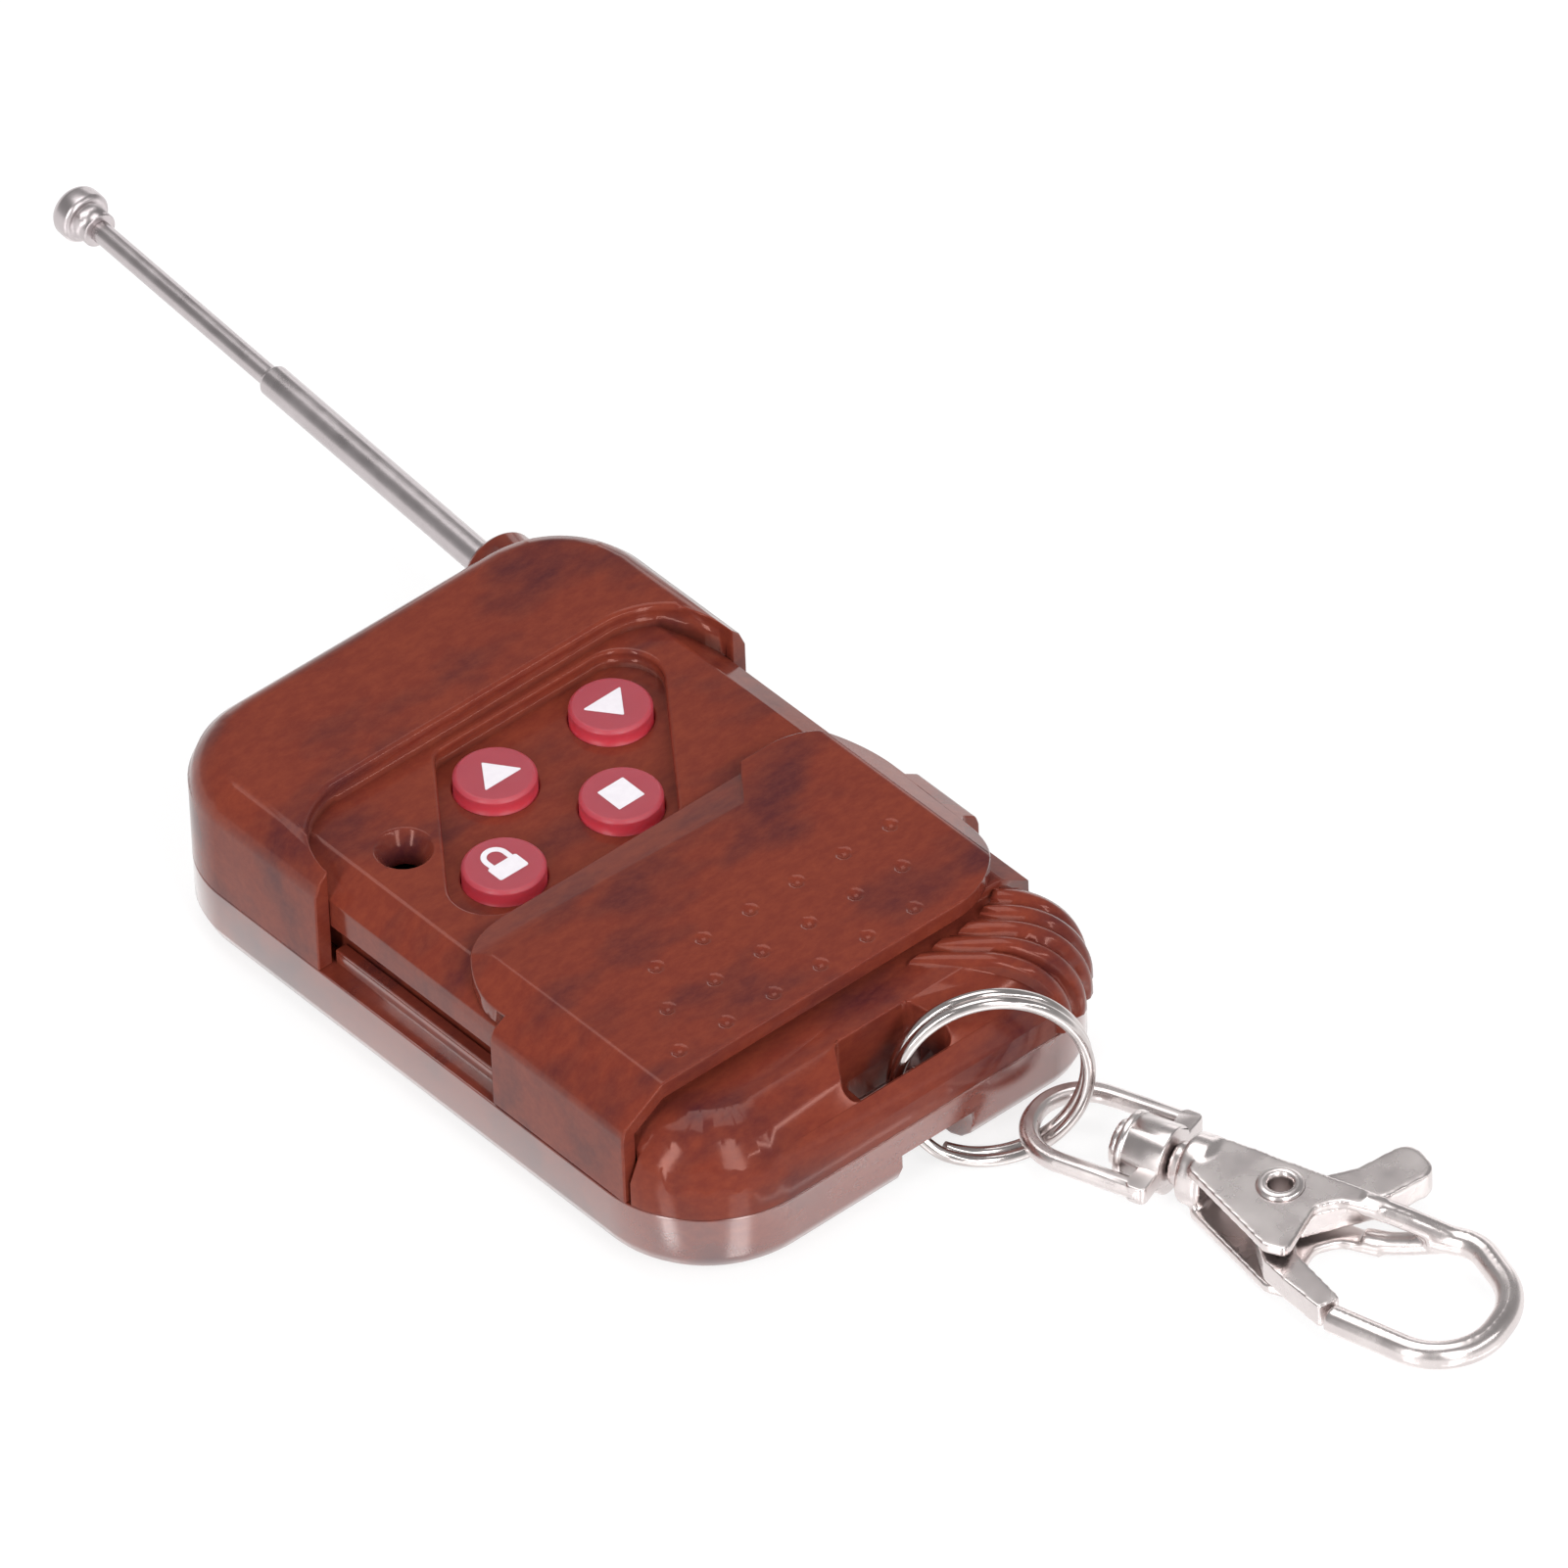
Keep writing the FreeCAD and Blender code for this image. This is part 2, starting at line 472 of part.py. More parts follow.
top_y = notch_y - 0.4
save("encoder_chip", leaded_chip(-4.5, top_y, 6.8, 3.6, 1.5, 5, 1.27))
save("rf_transistor", leaded_chip(-ROOM_X + 4.0, top_y - 3.5, 2.9, 1.5, 1.1, 2, 1.9))
save("resonator", slab([(1.7, top_y - 3.3), (5.3, top_y - 3.3), (5.3, top_y + 0.1), (1.7, top_y + 0.1)], [0.6, 0.6, 0.6, 0.6], PCB_Z1, PCB_Z1 + 1.3))
chips = []
for x, y, lx, ly in ((-ROOM_X + 2.4, ROW_LOW + 1.0, 1.0, 2.0), (-ROOM_X + 4.2, ROW_LOW + 1.0, 1.0, 2.0), (-2.8, ROW_LOW - 0.8, 2.0, 1.0),
                     (-2.8, ROW_LOW + 1.2, 2.0, 1.0), (7.2, ROW_LOW - 1.0, 1.0, 2.0), (9.0, ROW_LOW - 1.0, 1.0, 2.0),
                     (2.6, BOARD_Y1 - 4.0, 2.0, 1.0), (2.6, BOARD_Y1 - 2.0, 2.0, 1.0), (-7.6, BOARD_Y1 - 2.0, 1.0, 2.0),
                     (-8.4, ROW_TOP + 3.1, 2.0, 1.0)):
    chips.append(box(x - lx / 2, x + lx / 2, y - ly / 2, y + ly / 2, PCB_Z1, PCB_Z1 + 0.55))
save("chip_parts", Part.makeCompound(chips))
choke_y, choke_z = ROW_TOP + 4.6, PCB_Z1 + 1.25
choke = Part.makeCylinder(1.2, 3.4, V(8.2, choke_y, choke_z), V(0, 1, 0))
for y0 in (choke_y - 0.8, choke_y + 3.3):
    choke = choke.fuse(box(8.0, 8.4, y0, y0 + 0.9, PCB_Z1, choke_z + 0.2))
save("loading_coil", choke.removeSplitter())

# Battery: cell, sleeve, end plates and a wound spring
cell_x1 = PLATE_X - PLATE_T
cell_x0 = cell_x1 - CELL_L
cell = Part.makeCylinder(CELL_R - 0.16, CELL_L - 0.8, V(cell_x0, CELL_Y, CELL_Z), V(1, 0, 0))
cell = cell.fuse(Part.makeCylinder(1.6, 1.0, V(cell_x1 - 1.0, CELL_Y, CELL_Z), V(1, 0, 0))).removeSplitter()
save("battery_cell", cell)
sleeve = Part.makeCylinder(CELL_R, CELL_L - 1.4, V(cell_x0 + 0.3, CELL_Y, CELL_Z), V(1, 0, 0))
save("battery_sleeve", sleeve.cut(Part.makeCylinder(CELL_R - 0.14, CELL_L + 5, V(cell_x0 - 1, CELL_Y, CELL_Z), V(1, 0, 0))))
plate_top = CELL_Z + CELL_R - 0.1
neg = box(-PLATE_X, -PLATE_X + PLATE_T, CELL_Y - 3.6, CELL_Y + 3.6, WALL + 0.15, plate_top)
neg = neg.fuse(box(-PLATE_X, -PLATE_X + PLATE_T, CELL_Y + 3.0, BOARD_Y0 + 2.7, PCB_Z1, PCB_Z1 + 1.2))
neg = neg.fuse(box(-PLATE_X, -PLATE_X + 1.65, BOARD_Y0 + 1.7, BOARD_Y0 + 2.7, PCB_Z1, PCB_Z1 + PLATE_T)).removeSplitter()
save("battery_plate_negative", neg)
pos = box(PLATE_X - PLATE_T, PLATE_X, CELL_Y - 3.6, CELL_Y + 3.6, WALL + 0.15, plate_top)
pos = pos.fuse(box(PLATE_X - PLATE_T, PLATE_X, CELL_Y + 3.0, BOARD_Y0 + 0.9, PCB_Z1, PCB_Z1 + 1.2))
pos = pos.fuse(box(9.8, PLATE_X, BOARD_Y0 + 0.6, BOARD_Y0 + 0.9, PCB_Z1, PCB_Z1 + 1.2)).removeSplitter()
save("battery_plate_positive", pos)
spring_x0 = -PLATE_X + PLATE_T + 0.03 + SPRING_W / math.cos(math.pi / 8)
spring_x1 = cell_x0 - 0.03 - SPRING_W / math.cos(math.pi / 8)
half_turns = int(round(2 * SPRING_TURNS))
climb = (spring_x1 - spring_x0) / half_turns
arcs = []
for i in range(half_turns):
    side = 1 if i % 2 == 0 else -1
    a = V(spring_x0 + climb * i, CELL_Y, CELL_Z + side * SPRING_R)
    b = V(spring_x0 + climb * (i + 0.5), CELL_Y + side * SPRING_R, CELL_Z)
    c = V(spring_x0 + climb * (i + 1), CELL_Y, CELL_Z - side * SPRING_R)
    arcs.append(Part.Arc(a, b, c).toShape())
spring = rod(Part.Wire(arcs), SPRING_W, 8, V(1, 0, 0))
save("battery_spring", spring)
print("battery_spring: least gap between turns %.2f mm" % (2 * climb - 2 * SPRING_W))

# Aerial: base tube and its solder clip in the case, then two sliding tubes with brass shoes and a knob
save("aerial_base", tube(BASE_IN, -0.4, BASE_R, 0).cut(tube(BASE_IN + 0.5, 2, MID_R + SLIDE_FIT)))
clip_at = on_aerial(BASE_IN + 3.5)
clip = box(clip_at.x - BASE_R - 0.3, clip_at.x + BASE_R + 0.3, clip_at.y - 0.9, clip_at.y + 0.9, PCB_Z1 + 0.3, AERIAL[2] + 0.6)
clip = clip.fuse(box(9.4, clip_at.x, clip_at.y - 0.8, clip_at.y + 0.8, PCB_Z1, PCB_Z1 + 0.35))
clip = clip.cut(tube(BASE_IN, 0, BASE_R + 0.02)).cut(box(clip_at.x - 5, clip_at.x + 5, clip_at.y - 2, clip_at.y + 2, -1, PCB_Z1))
save("aerial_clip", max(clip.removeSplitter().Solids, key=lambda s: s.Volume))
mid_in = MID_OUT - MID_TRAVEL - 4.3
mid = turned([(mid_in + SHOE_L, TIP_R + SLIDE_FIT), (MID_OUT, TIP_R + SLIDE_FIT), (MID_OUT, MID_R - 0.2),
              (MID_OUT - 0.3, MID_R), (mid_in + SHOE_L, MID_R)])
save("aerial_middle", mid)
save("aerial_middle_shoe", tube(mid_in, mid_in + SHOE_L, MID_R + 0.02))
tip_in = mid_in + SHOE_L + 0.5 + TIP_TRAVEL
save("aerial_tip_shoe", tube(tip_in, tip_in + SHOE_L, TIP_R + 0.02))
save("aerial_tip", tube(tip_in + SHOE_L, TIP_OUT, TIP_R))
knob = turned([(TIP_OUT, 0), (TIP_OUT, 1.35), (TIP_OUT + 1.5, 1.35), (TIP_OUT + 1.5, KNOB_R - 0.25), (TIP_OUT + 1.8, KNOB_R),
               (TIP_OUT + 2.9, KNOB_R), (TIP_OUT + 3.35, KNOB_R - 0.25), (TIP_OUT + 3.7, 0.8), (TIP_OUT + 3.7, 0)])
save("aerial_knob", knob)

# Slide cover: a folded top, two skirts whose lips run in the grooves, a stepped nose and dots
in_x = TRACK_X + COVER_GAP
skirt_in = [(in_x, PARTING + 0.1), (in_x, GROOVE_Z0 + 0.15), (GROOVE_X + 0.15, GROOVE_Z0 + 0.15), (GROOVE_X + 0.15, GROOVE_Z1 - 0.12),
            (in_x, GROOVE_Z1 - 0.12), (in_x, DECK - FACET_DROP + 0.07), (FOLD_X + 0.03, DECK + COVER_GAP)]
skirt_out = [(FOLD_X, COVER_TOP), (HX - 0.25, COVER_TOP - 2.2), (HX, COVER_TOP - 3.0), (HX, PARTING + 0.1)]
ring_sec = skirt_in + [(-x, z) for x, z in reversed(skirt_in)] + [(-x, z) for x, z in skirt_out[::-1]] + skirt_out
cover = along_y(ring_sec, COVER_Y0 - 1, COVER_Y1 + 1)
nose_x = TRACK_X - 0.1
plan = slab([(-HX - 1, COVER_Y0), (TRACK_X - 0.6, COVER_Y0), (TRACK_X - 0.6, SKIRT_BR), (HX + 1, SKIRT_BR), (HX + 1, SKIRT_Y1), (nose_x, SKIRT_Y1),
             (nose_x, COVER_Y1), (-nose_x, COVER_Y1), (-nose_x, SKIRT_Y1), (-HX - 1, SKIRT_Y1)],
            [0, COVER_CORNER, 0.8, 0, 0, 0, CAP_CORNER, CAP_CORNER, 0, 0], 0, CAP_TOP + 5)
cover = cover.common(plan)
cover = cover.cut(box(-HX, HX, SKIRT_Y1, CAP_EDGE, 0, GROOVE_Z1 + 0.5))
step_z = DECK + 0.45
ramp = Part.Face(Part.makePolygon([V(0, COVER_Y1 + 1, step_z), V(0, COVER_Y1, step_z), V(0, COVER_Y1 - 3.6, COVER_TOP),
                                   V(0, COVER_Y1 + 1, COVER_TOP + 1), V(0, COVER_Y1 + 1, step_z)])).extrude(V(2 * WIDTH, 0, 0))
ramp.translate(V(-WIDTH, 0, 0))
crease = 6.4
ramp = ramp.common(slab([(-WIDTH, COVER_Y1 - 19.4), (crease - SLANT * 15.6, COVER_Y1 - 19.4), (crease + SLANT * 9, COVER_Y1 + 4.6), (-WIDTH, COVER_Y1 + 4.6)],
                        [0, 0, 0, 0], 0, 2 * CAP_TOP))
cover = cover.cut(ramp)
for i in range(3):
    for j in range(6):
        x = -8.4 + DOT_PITCH * j + DOT_SHIFT * i
        y = COVER_Y0 + 9.2 - DOT_ROW * i
        rings = []
        for share, depth in ((1.08, -0.03), (0.72, 0.6), (0.3, 1.0)):
            pts = [V(x + DOT_R * share * math.cos(math.radians(a)), y + DOT_R * share * math.sin(math.radians(a)), COVER_TOP - DOT_DEPTH * depth)
                   for a in range(0, 360, 36)]
            rings.append(Part.makePolygon(pts + [pts[0]]))
        cover = cover.cut(Part.makeLoft(rings, True, True))
save("slide_cover", cover.removeSplitter())

# Split ring frame: across is level, up leans back by the tilt, and the normal faces the hook side
tilt, turn = math.radians(RING_TILT), math.radians(RING_AZ)
RING_N = V(math.cos(turn) * math.cos(tilt), math.sin(turn) * math.cos(tilt), math.sin(tilt))
RING_H = V(-math.sin(turn), math.cos(turn), 0)
RING_V = RING_N.cross(RING_H)
ring_z = (RING_R + RING_W) * math.cos(tilt) + (RING_W + RING_GAP / 2) * math.sin(tilt) + FLOOR_GAP
RING_C = V(RING_PASS[0], RING_PASS[1], ring_z) + RING_H * RING_R


def on_ring(angle, layer):
    a = math.radians(angle)
    return RING_C + RING_H * (RING_R * math.cos(a)) + RING_V * (RING_R * math.sin(a)) + RING_N * (layer * (RING_W + RING_GAP / 2))


step = 15.0
s0 = RING_SPLIT
arcs = []
for layer, a0 in ((-1, s0 + step), (1, s0 + step + 360)):
    a1 = a0 + 360 - 2 * step
    mid = (a0 + a1) / 2
    arcs.append((Part.Arc(on_ring(a0, layer), on_ring((a0 + mid) / 2, layer), on_ring(mid, layer)).toShape(),
                 Part.Arc(on_ring(mid, layer), on_ring((a1 + mid) / 2, layer), on_ring(a1, layer)).toShape()))
cross = Part.BSplineCurve()
a1 = math.radians(s0 - step)
b0 = math.radians(s0 + step)
cross.interpolate([on_ring(s0 - step, -1), on_ring(s0, 0), on_ring(s0 + step, 1)],
                  InitialTangent=(RING_V * math.cos(a1) - RING_H * math.sin(a1)),
                  FinalTangent=(RING_V * math.cos(b0) - RING_H * math.sin(b0)))
coil = Part.Wire([arcs[0][0], arcs[0][1], cross.toShape(), arcs[1][0], arcs[1][1]])
save("split_ring", rod(coil, RING_W, 8, RING_N))
print("split_ring: gap between its two turns %.2f mm" % RING_GAP)

# Clasp frame: a runs away from the case along the swivel, b across it, up is Z
yaw = math.radians(CLASP_YAW)
C_A = V(math.sin(yaw), -math.cos(yaw), 0)
C_B = V(math.cos(yaw), math.sin(yaw), 0)
clasp_z = COLLAR_R + FLOOR_GAP
drop = (clasp_z - RING_C.z) / RING_V.z
hang = RING_C + RING_H * math.sqrt(RING_R ** 2 - drop ** 2) + RING_V * drop
C_O = V(hang.x, hang.y, clasp_z) + C_A * LOOP_REACH


def cp(a, b, z=0.0):
    return C_O + C_A * a + C_B * b + V(0, 0, z)


def c_rod(a0, a1, r):
    return Part.makeCylinder(r, a1 - a0, cp(a0, 0), C_A)


def c_plate(points, radii, z0, z1):
    pts = [cp(a, b) for a, b in points]
    return slab([(p.x, p.y) for p in pts], radii, clasp_z + z0, clasp_z + z1)


def c_wire(points, radii, r, sides):
    """A bar of many sides along a line with rounded bends, flat in the clasp's plane."""
    pts = [cp(a, b) for a, b in points]
    return rod(rounded([(p.x, p.y) for p in pts], radii, clasp_z, closed=False), r, sides, V(0, 0, 1))


# Swivel loop: a bow with a barrel
bow = c_wire([(-2.6, -3.75), (-12.6, -3.75), (-12.6, 3.75), (-2.6, 3.75)], [0, 3.7, 3.7, 0], BOW_R, 12)
barrel = c_rod(-4.9, -1.9, COLLAR_R - 0.1).fuse(c_rod(-5.4, -4.8, COLLAR_R))
bridge = c_plate([(-3.5, -4.4), (-1.9, -4.4), (-1.9, 4.4), (-3.5, 4.4)], [0.5] * 4, -BOW_R, BOW_R)
loop = bow.fuse(barrel).fuse(bridge).cut(c_rod(-7, 0, 1.1))
save("swivel_loop", loop.removeSplitter())

# Clasp body: headed stem, collar, two plates joined by a spine, and the hook
stem = c_rod(-5.9, -0.8, 1.03).fuse(c_rod(-6.3, -5.5, 1.8)).fuse(c_rod(-1.8, -0.8, 1.6))
collar = c_rod(-0.9, 1.3, COLLAR_R)
plate_pts = [(0.4, -2.4), (9.4, -5.4), (10.6, -3.6), (11.4, 0.6), (14.0, 3.0), (14.0, 4.6), (0.4, 2.5)]
plate_r = [0.6, 1.1, 0.8, 1.6, 0.3, 0.3, 0.6]
top_plate = c_plate(plate_pts, plate_r, PLATE_IN, PLATE_OUT)
low_plate = c_plate(plate_pts, plate_r, -PLATE_OUT, -PLATE_IN)
spine = c_plate([(0.4, 1.7), (14.0, 3.8), (14.0, 4.6), (0.4, 2.5)], [0.2] * 4, -PLATE_OUT, PLATE_OUT)
spine = spine.cut(c_plate([(5.2, 0.5), (13.4, 0.5), (13.4, 6), (5.2, 6)], [0] * 4, -PLATE_IN + 0.2, PLATE_IN - 0.2))
hook = c_wire([(12.8, 4.0), (20.4, 4.3), (24.9, -0.6), (24.9, -9.7), (15.6, -9.4), (14.6, -7.2)], [0, 6.0, 6.2, 4.6, 0.9, 0], HOOK_R, 12)
RIVET = (6.8, -1.0)
gate_sweep = Part.makeCylinder(GATE_REACH + 0.2, 8, cp(RIVET[0], RIVET[1], -4))
hook = hook.cut(gate_sweep.common(c_plate([(8, -20), (18, -20), (18, -4), (8, -4)], [0] * 4, -4, 4)))
blend = c_plate([(13.2, 2.8), (14.6, 3.2), (14.6, 4.9), (13.2, 4.6)], [0.3, 0.6, 0.6, 0.3], -2.0, 2.0)
clasp = stem.fuse(collar).fuse(top_plate).fuse(low_plate).fuse(spine).fuse(blend).fuse(hook)
clasp = clasp.cut(Part.makeCylinder(RIVET_R + 0.03, 8, cp(RIVET[0], RIVET[1], -4)))
save("clasp_body", clasp.removeSplitter())

# Eyelet rivet, flared at both faces
rv = cp(RIVET[0], RIVET[1])
rivet = Part.makeCylinder(RIVET_R, 2 * PLATE_OUT + 0.1, rv - V(0, 0, PLATE_OUT + 0.05))
for side in (-1, 1):
    face_at = rv + V(0, 0, side * (PLATE_OUT + 0.02))
    rivet = rivet.fuse(Part.makeCone(RIVET_R + 0.48, RIVET_R + 0.1, 0.4, face_at, V(0, 0, side)))
save("clasp_rivet", rivet.cut(Part.makeCylinder(RIVET_HOLE, 8, rv - V(0, 0, 4))).removeSplitter())

# Lever: thumb tab, hub and gate
hub = Part.makeCylinder(2.0, 2.0, cp(RIVET[0], RIVET[1], -1.0))
tab = c_plate([(5.6, -0.6), (8.8, -1.6), (13.2, 6.4), (12.6, 8.2), (10.9, 8.2), (8.9, 5.6)], [0.3, 0.3, 0.9, 0.7, 0.9, 1.2], -1.0, 1.0)
gate = c_plate([(6.2, -3.0), (8.6, -2.6), (17.6, -8.2), (16.6, -10.4), (14.6, -9.4), (7.4, -5.0)], [0.3, 0.4, 0.3, 0.3, 0.3, 0.9], -0.8, 0.8)
gate = gate.common(Part.makeCylinder(GATE_REACH, 8, cp(RIVET[0], RIVET[1], -4)))
lever = hub.fuse(tab).fuse(gate).cut(Part.makeCylinder(RIVET_R + 0.05, 8, cp(RIVET[0], RIVET[1], -4)))
save("clasp_lever", lever.removeSplitter())
print("ring centre", RING_C, "normal", RING_N, "hang", hang, "clasp", C_O)
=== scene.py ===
import math

import bmesh
import bpy
from mathutils import Matrix, Vector


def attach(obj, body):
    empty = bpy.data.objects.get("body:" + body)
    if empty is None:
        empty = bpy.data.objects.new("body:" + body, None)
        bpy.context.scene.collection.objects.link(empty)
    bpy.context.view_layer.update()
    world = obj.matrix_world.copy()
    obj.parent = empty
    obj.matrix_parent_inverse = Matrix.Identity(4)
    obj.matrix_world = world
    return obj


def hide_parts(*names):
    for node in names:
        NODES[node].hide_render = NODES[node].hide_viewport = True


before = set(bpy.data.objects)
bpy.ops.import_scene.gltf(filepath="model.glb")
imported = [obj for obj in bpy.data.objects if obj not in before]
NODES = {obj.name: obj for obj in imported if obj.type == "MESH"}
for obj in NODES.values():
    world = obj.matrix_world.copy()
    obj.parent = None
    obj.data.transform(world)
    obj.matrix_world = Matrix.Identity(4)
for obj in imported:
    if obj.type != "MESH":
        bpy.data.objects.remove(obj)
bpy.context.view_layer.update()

# Garage door remote, lying on its back. The CAD frame is in metres: X right, Y toward the aerial, Z up.
# Lengths in this script are in millimetres, except where a comment says metres.
MM = 0.001


def mm(x, y, z):
    return Vector((x, y, z)) * MM


def new_piece(name, data):
    """An object of this data in the scene."""
    piece = bpy.data.objects.new(name, data)
    bpy.context.scene.collection.objects.link(piece)
    return piece


def new_mesh(name, work):
    """A mesh of what a bmesh holds; the bmesh ends here."""
    mesh = bpy.data.meshes.new(name)
    work.to_mesh(mesh)
    work.free()
    return mesh


def coat_mesh(mesh, skin):
    """Gives a mesh this one material."""
    mesh.materials.clear()
    mesh.materials.append(skin)


def evaluated_mesh(piece, name):
    """A plain mesh of what the modifiers of an object make."""
    bpy.context.view_layer.update()
    graph = bpy.context.evaluated_depsgraph_get()
    mesh = bpy.data.meshes.new_from_object(piece.evaluated_get(graph))
    mesh.name = name
    return mesh


# Camera: a long lens from the key-ring side, as the photograph was taken
CAMERA_AZIMUTH, CAMERA_ELEVATION, CAMERA_ROLL = 39.585, 41.742, 2.233
CAMERA_DISTANCE = 1454.8
CAMERA_LENS, SENSOR_WIDTH = 485.2, 36
CAMERA_CLIP_END = 20000
AIM_RIGHT, AIM_UP = -10.21, -13.36


def toward(azimuth, elevation):
    """The direction from the object to a place at these angles, in degrees."""
    a, e = math.radians(azimuth), math.radians(elevation)
    return Vector((-math.sin(a) * math.cos(e), -math.cos(a) * math.cos(e), math.sin(e)))


def make_camera():
    back = toward(CAMERA_AZIMUTH, CAMERA_ELEVATION)
    azimuth, roll = math.radians(CAMERA_AZIMUTH), math.radians(CAMERA_ROLL)
    right = Vector((math.cos(azimuth), -math.sin(azimuth), 0))
    up = back.cross(right)
    across = right * math.cos(roll) - up * math.sin(roll)
    upward = right * math.sin(roll) + up * math.cos(roll)
    place = (back * CAMERA_DISTANCE - across * AIM_RIGHT - upward * AIM_UP) * MM
    camera = new_piece("camera", bpy.data.cameras.new("camera"))
    camera.data.type = "PERSP"
    camera.data.sensor_width = SENSOR_WIDTH
    camera.data.lens = CAMERA_LENS
    camera.data.clip_end = CAMERA_CLIP_END * MM
    turn = Matrix((across, upward, back)).transposed().to_4x4()
    camera.matrix_world = Matrix.Translation(place) @ turn
    bpy.context.scene.camera = camera


make_camera()


# Materials
def colour(code):
    """Linear colour from an sRGB hex code."""
    parts = [int(code[i:i + 2], 16) / 255 for i in (1, 3, 5)]
    return [c / 12.92 if c <= 0.04045 else ((c + 0.055) / 1.055) ** 2.4 for c in parts] + [1.0]


def add(tree, kind, inputs=None, stops=None, **settings):
    """Adds a node. inputs holds its sockets' values or the sockets they come from; stops are a ramp's
    colours, as hex codes or greys."""
    node = tree.nodes.new(kind)
    for name, value in settings.items():
        setattr(node, name, value)
    for name, value in (inputs or {}).items():
        if isinstance(value, bpy.types.NodeSocket):
            tree.links.new(value, node.inputs[name])
        else:
            node.inputs[name].default_value = value
    if stops:
        while len(node.color_ramp.elements) < len(stops):
            node.color_ramp.elements.new(0.5)
        for element, (place, shade) in zip(node.color_ramp.elements, stops):
            element.position = place
            element.color = colour(shade) if isinstance(shade, str) else (shade, shade, shade, 1)
    return node


def per_mm(size):
    """Noise scale that gives spots of this size."""
    return 1 / MM / size


def material(name):
    """An empty material and its tree to fill."""
    made = bpy.data.materials.new(name)
    made.use_nodes = True
    made.node_tree.nodes.clear()
    return made, made.node_tree


def places(tree):
    """The socket of places on the piece."""
    return add(tree, "ShaderNodeTexCoord").outputs["Object"]


def finish_surface(tree, shader):
    add(tree, "ShaderNodeOutputMaterial", {"Surface": shader.outputs[0]})


BURL_SHIFT = (4, 12.5, 0)
BURL_STRETCH = (0.55, 1.0, 1.0)
BURL_BODY = [(0.32, "#4A2229"), (0.42, "#692F29"), (0.50, "#7A3428"), (0.72, "#813829")]
BURL_GRAIN = [(0.38, "#632A23"), (0.66, "#89432E")]


def burl_abs(name, coat=None):
    """Injection-moulded ABS dyed red-brown and polished, so it mirrors the lamps crisply. The burl is
    faint: fibres under a millimetre wide and a few plum clouds, 6 mm long, that lie across the case."""
    made, tree = material(name)
    place = places(tree)
    laid = add(tree, "ShaderNodeMapping",
               {"Vector": place, "Location": mm(*BURL_SHIFT), "Scale": BURL_STRETCH}).outputs[0]
    clouds = add(tree, "ShaderNodeTexNoise",
                 {"Vector": laid, "Scale": per_mm(6.0), "Detail": 3.0, "Roughness": 0.5})
    fibres = add(tree, "ShaderNodeTexNoise",
                 {"Vector": laid, "Scale": per_mm(0.7), "Detail": 4.0, "Roughness": 0.7})
    body = add(tree, "ShaderNodeValToRGB", {"Fac": clouds.outputs["Fac"]}, stops=BURL_BODY)
    grain = add(tree, "ShaderNodeValToRGB", {"Fac": fibres.outputs["Fac"]}, stops=BURL_GRAIN)
    skin = add(tree, "ShaderNodeMix", {"Factor": 0.30, 6: body.outputs["Color"], 7: grain.outputs["Color"]},
               data_type="RGBA")
    shine = add(tree, "ShaderNodeMapRange", {"Value": fibres.outputs["Fac"], "To Min": 0.11, "To Max": 0.17})
    swell = add(tree, "ShaderNodeTexNoise", {"Vector": place, "Scale": per_mm(5.0), "Detail": 1.0})
    wave = add(tree, "ShaderNodeBump",
               {"Height": swell.outputs["Fac"], "Strength": 0.25, "Distance": 0.08 * MM})
    shader = add(tree, "ShaderNodeBsdfPrincipled",
                 {"Base Color": skin.outputs[2], "Roughness": shine.outputs["Result"], "IOR": 1.45,
                  "Specular Tint": colour("#E2B0A4"), "Normal": wave.outputs[0], **(coat or {})})
    finish_surface(tree, shader)
    return made


# Heights between which the button caps' painted glow fades: brighter red low on the cap, darker at its top
RESIN_LOW, RESIN_HIGH = 11.4, 12.8
RESIN_PAINTED_GLOW = [(0.0, "#DC3644"), (0.6, "#C83A4A"), (0.97, "#B24A56"), (1.0, "#A44450")]
RESIN_MIST = [(0.3, "#B03A48"), (0.7, "#BC4854")]


def red_resin():
    """Frosted translucent button caps moulded in soft red resin, in which light spreads. The sides' glow is
    painted: the colour runs brighter red toward the bottom of the cap, so no shade shows on the sides."""
    made, tree = material("frosted_red_resin")
    place = places(tree)
    mist = add(tree, "ShaderNodeTexNoise", {"Vector": place, "Scale": per_mm(1.6), "Detail": 3.0})
    height = add(tree, "ShaderNodeSeparateXYZ", {"Vector": place}).outputs["Z"]
    depth = add(tree, "ShaderNodeMapRange",
                {"Value": height, "From Min": RESIN_LOW * MM, "From Max": RESIN_HIGH * MM})
    # Painted glow: the colour is brighter red low on the cap and darker at its top
    glow = add(tree, "ShaderNodeValToRGB", {"Fac": depth.outputs["Result"]}, stops=RESIN_PAINTED_GLOW)
    cloud = add(tree, "ShaderNodeValToRGB", {"Fac": mist.outputs["Fac"]}, stops=RESIN_MIST)
    tint = add(tree, "ShaderNodeMix", {"Factor": 0.25, 6: glow.outputs["Color"], 7: cloud.outputs["Color"]},
               data_type="RGBA")
    frost = add(tree, "ShaderNodeTexNoise", {"Vector": place, "Scale": per_mm(0.08), "Detail": 1.0})
    skin = add(tree, "ShaderNodeBump",
               {"Height": frost.outputs["Fac"], "Strength": 0.25, "Distance": 0.01 * MM})
    shader = add(tree, "ShaderNodeBsdfPrincipled",
                 {"Base Color": tint.outputs[2], "Roughness": 0.38, "IOR": 1.46, "Subsurface Weight": 0.55,
                  "Subsurface Scale": 1.2 * MM, "Subsurface Radius": (1.0, 0.25, 0.2),
                  "Normal": skin.outputs[0]})
    finish_surface(tree, shader)
    return made


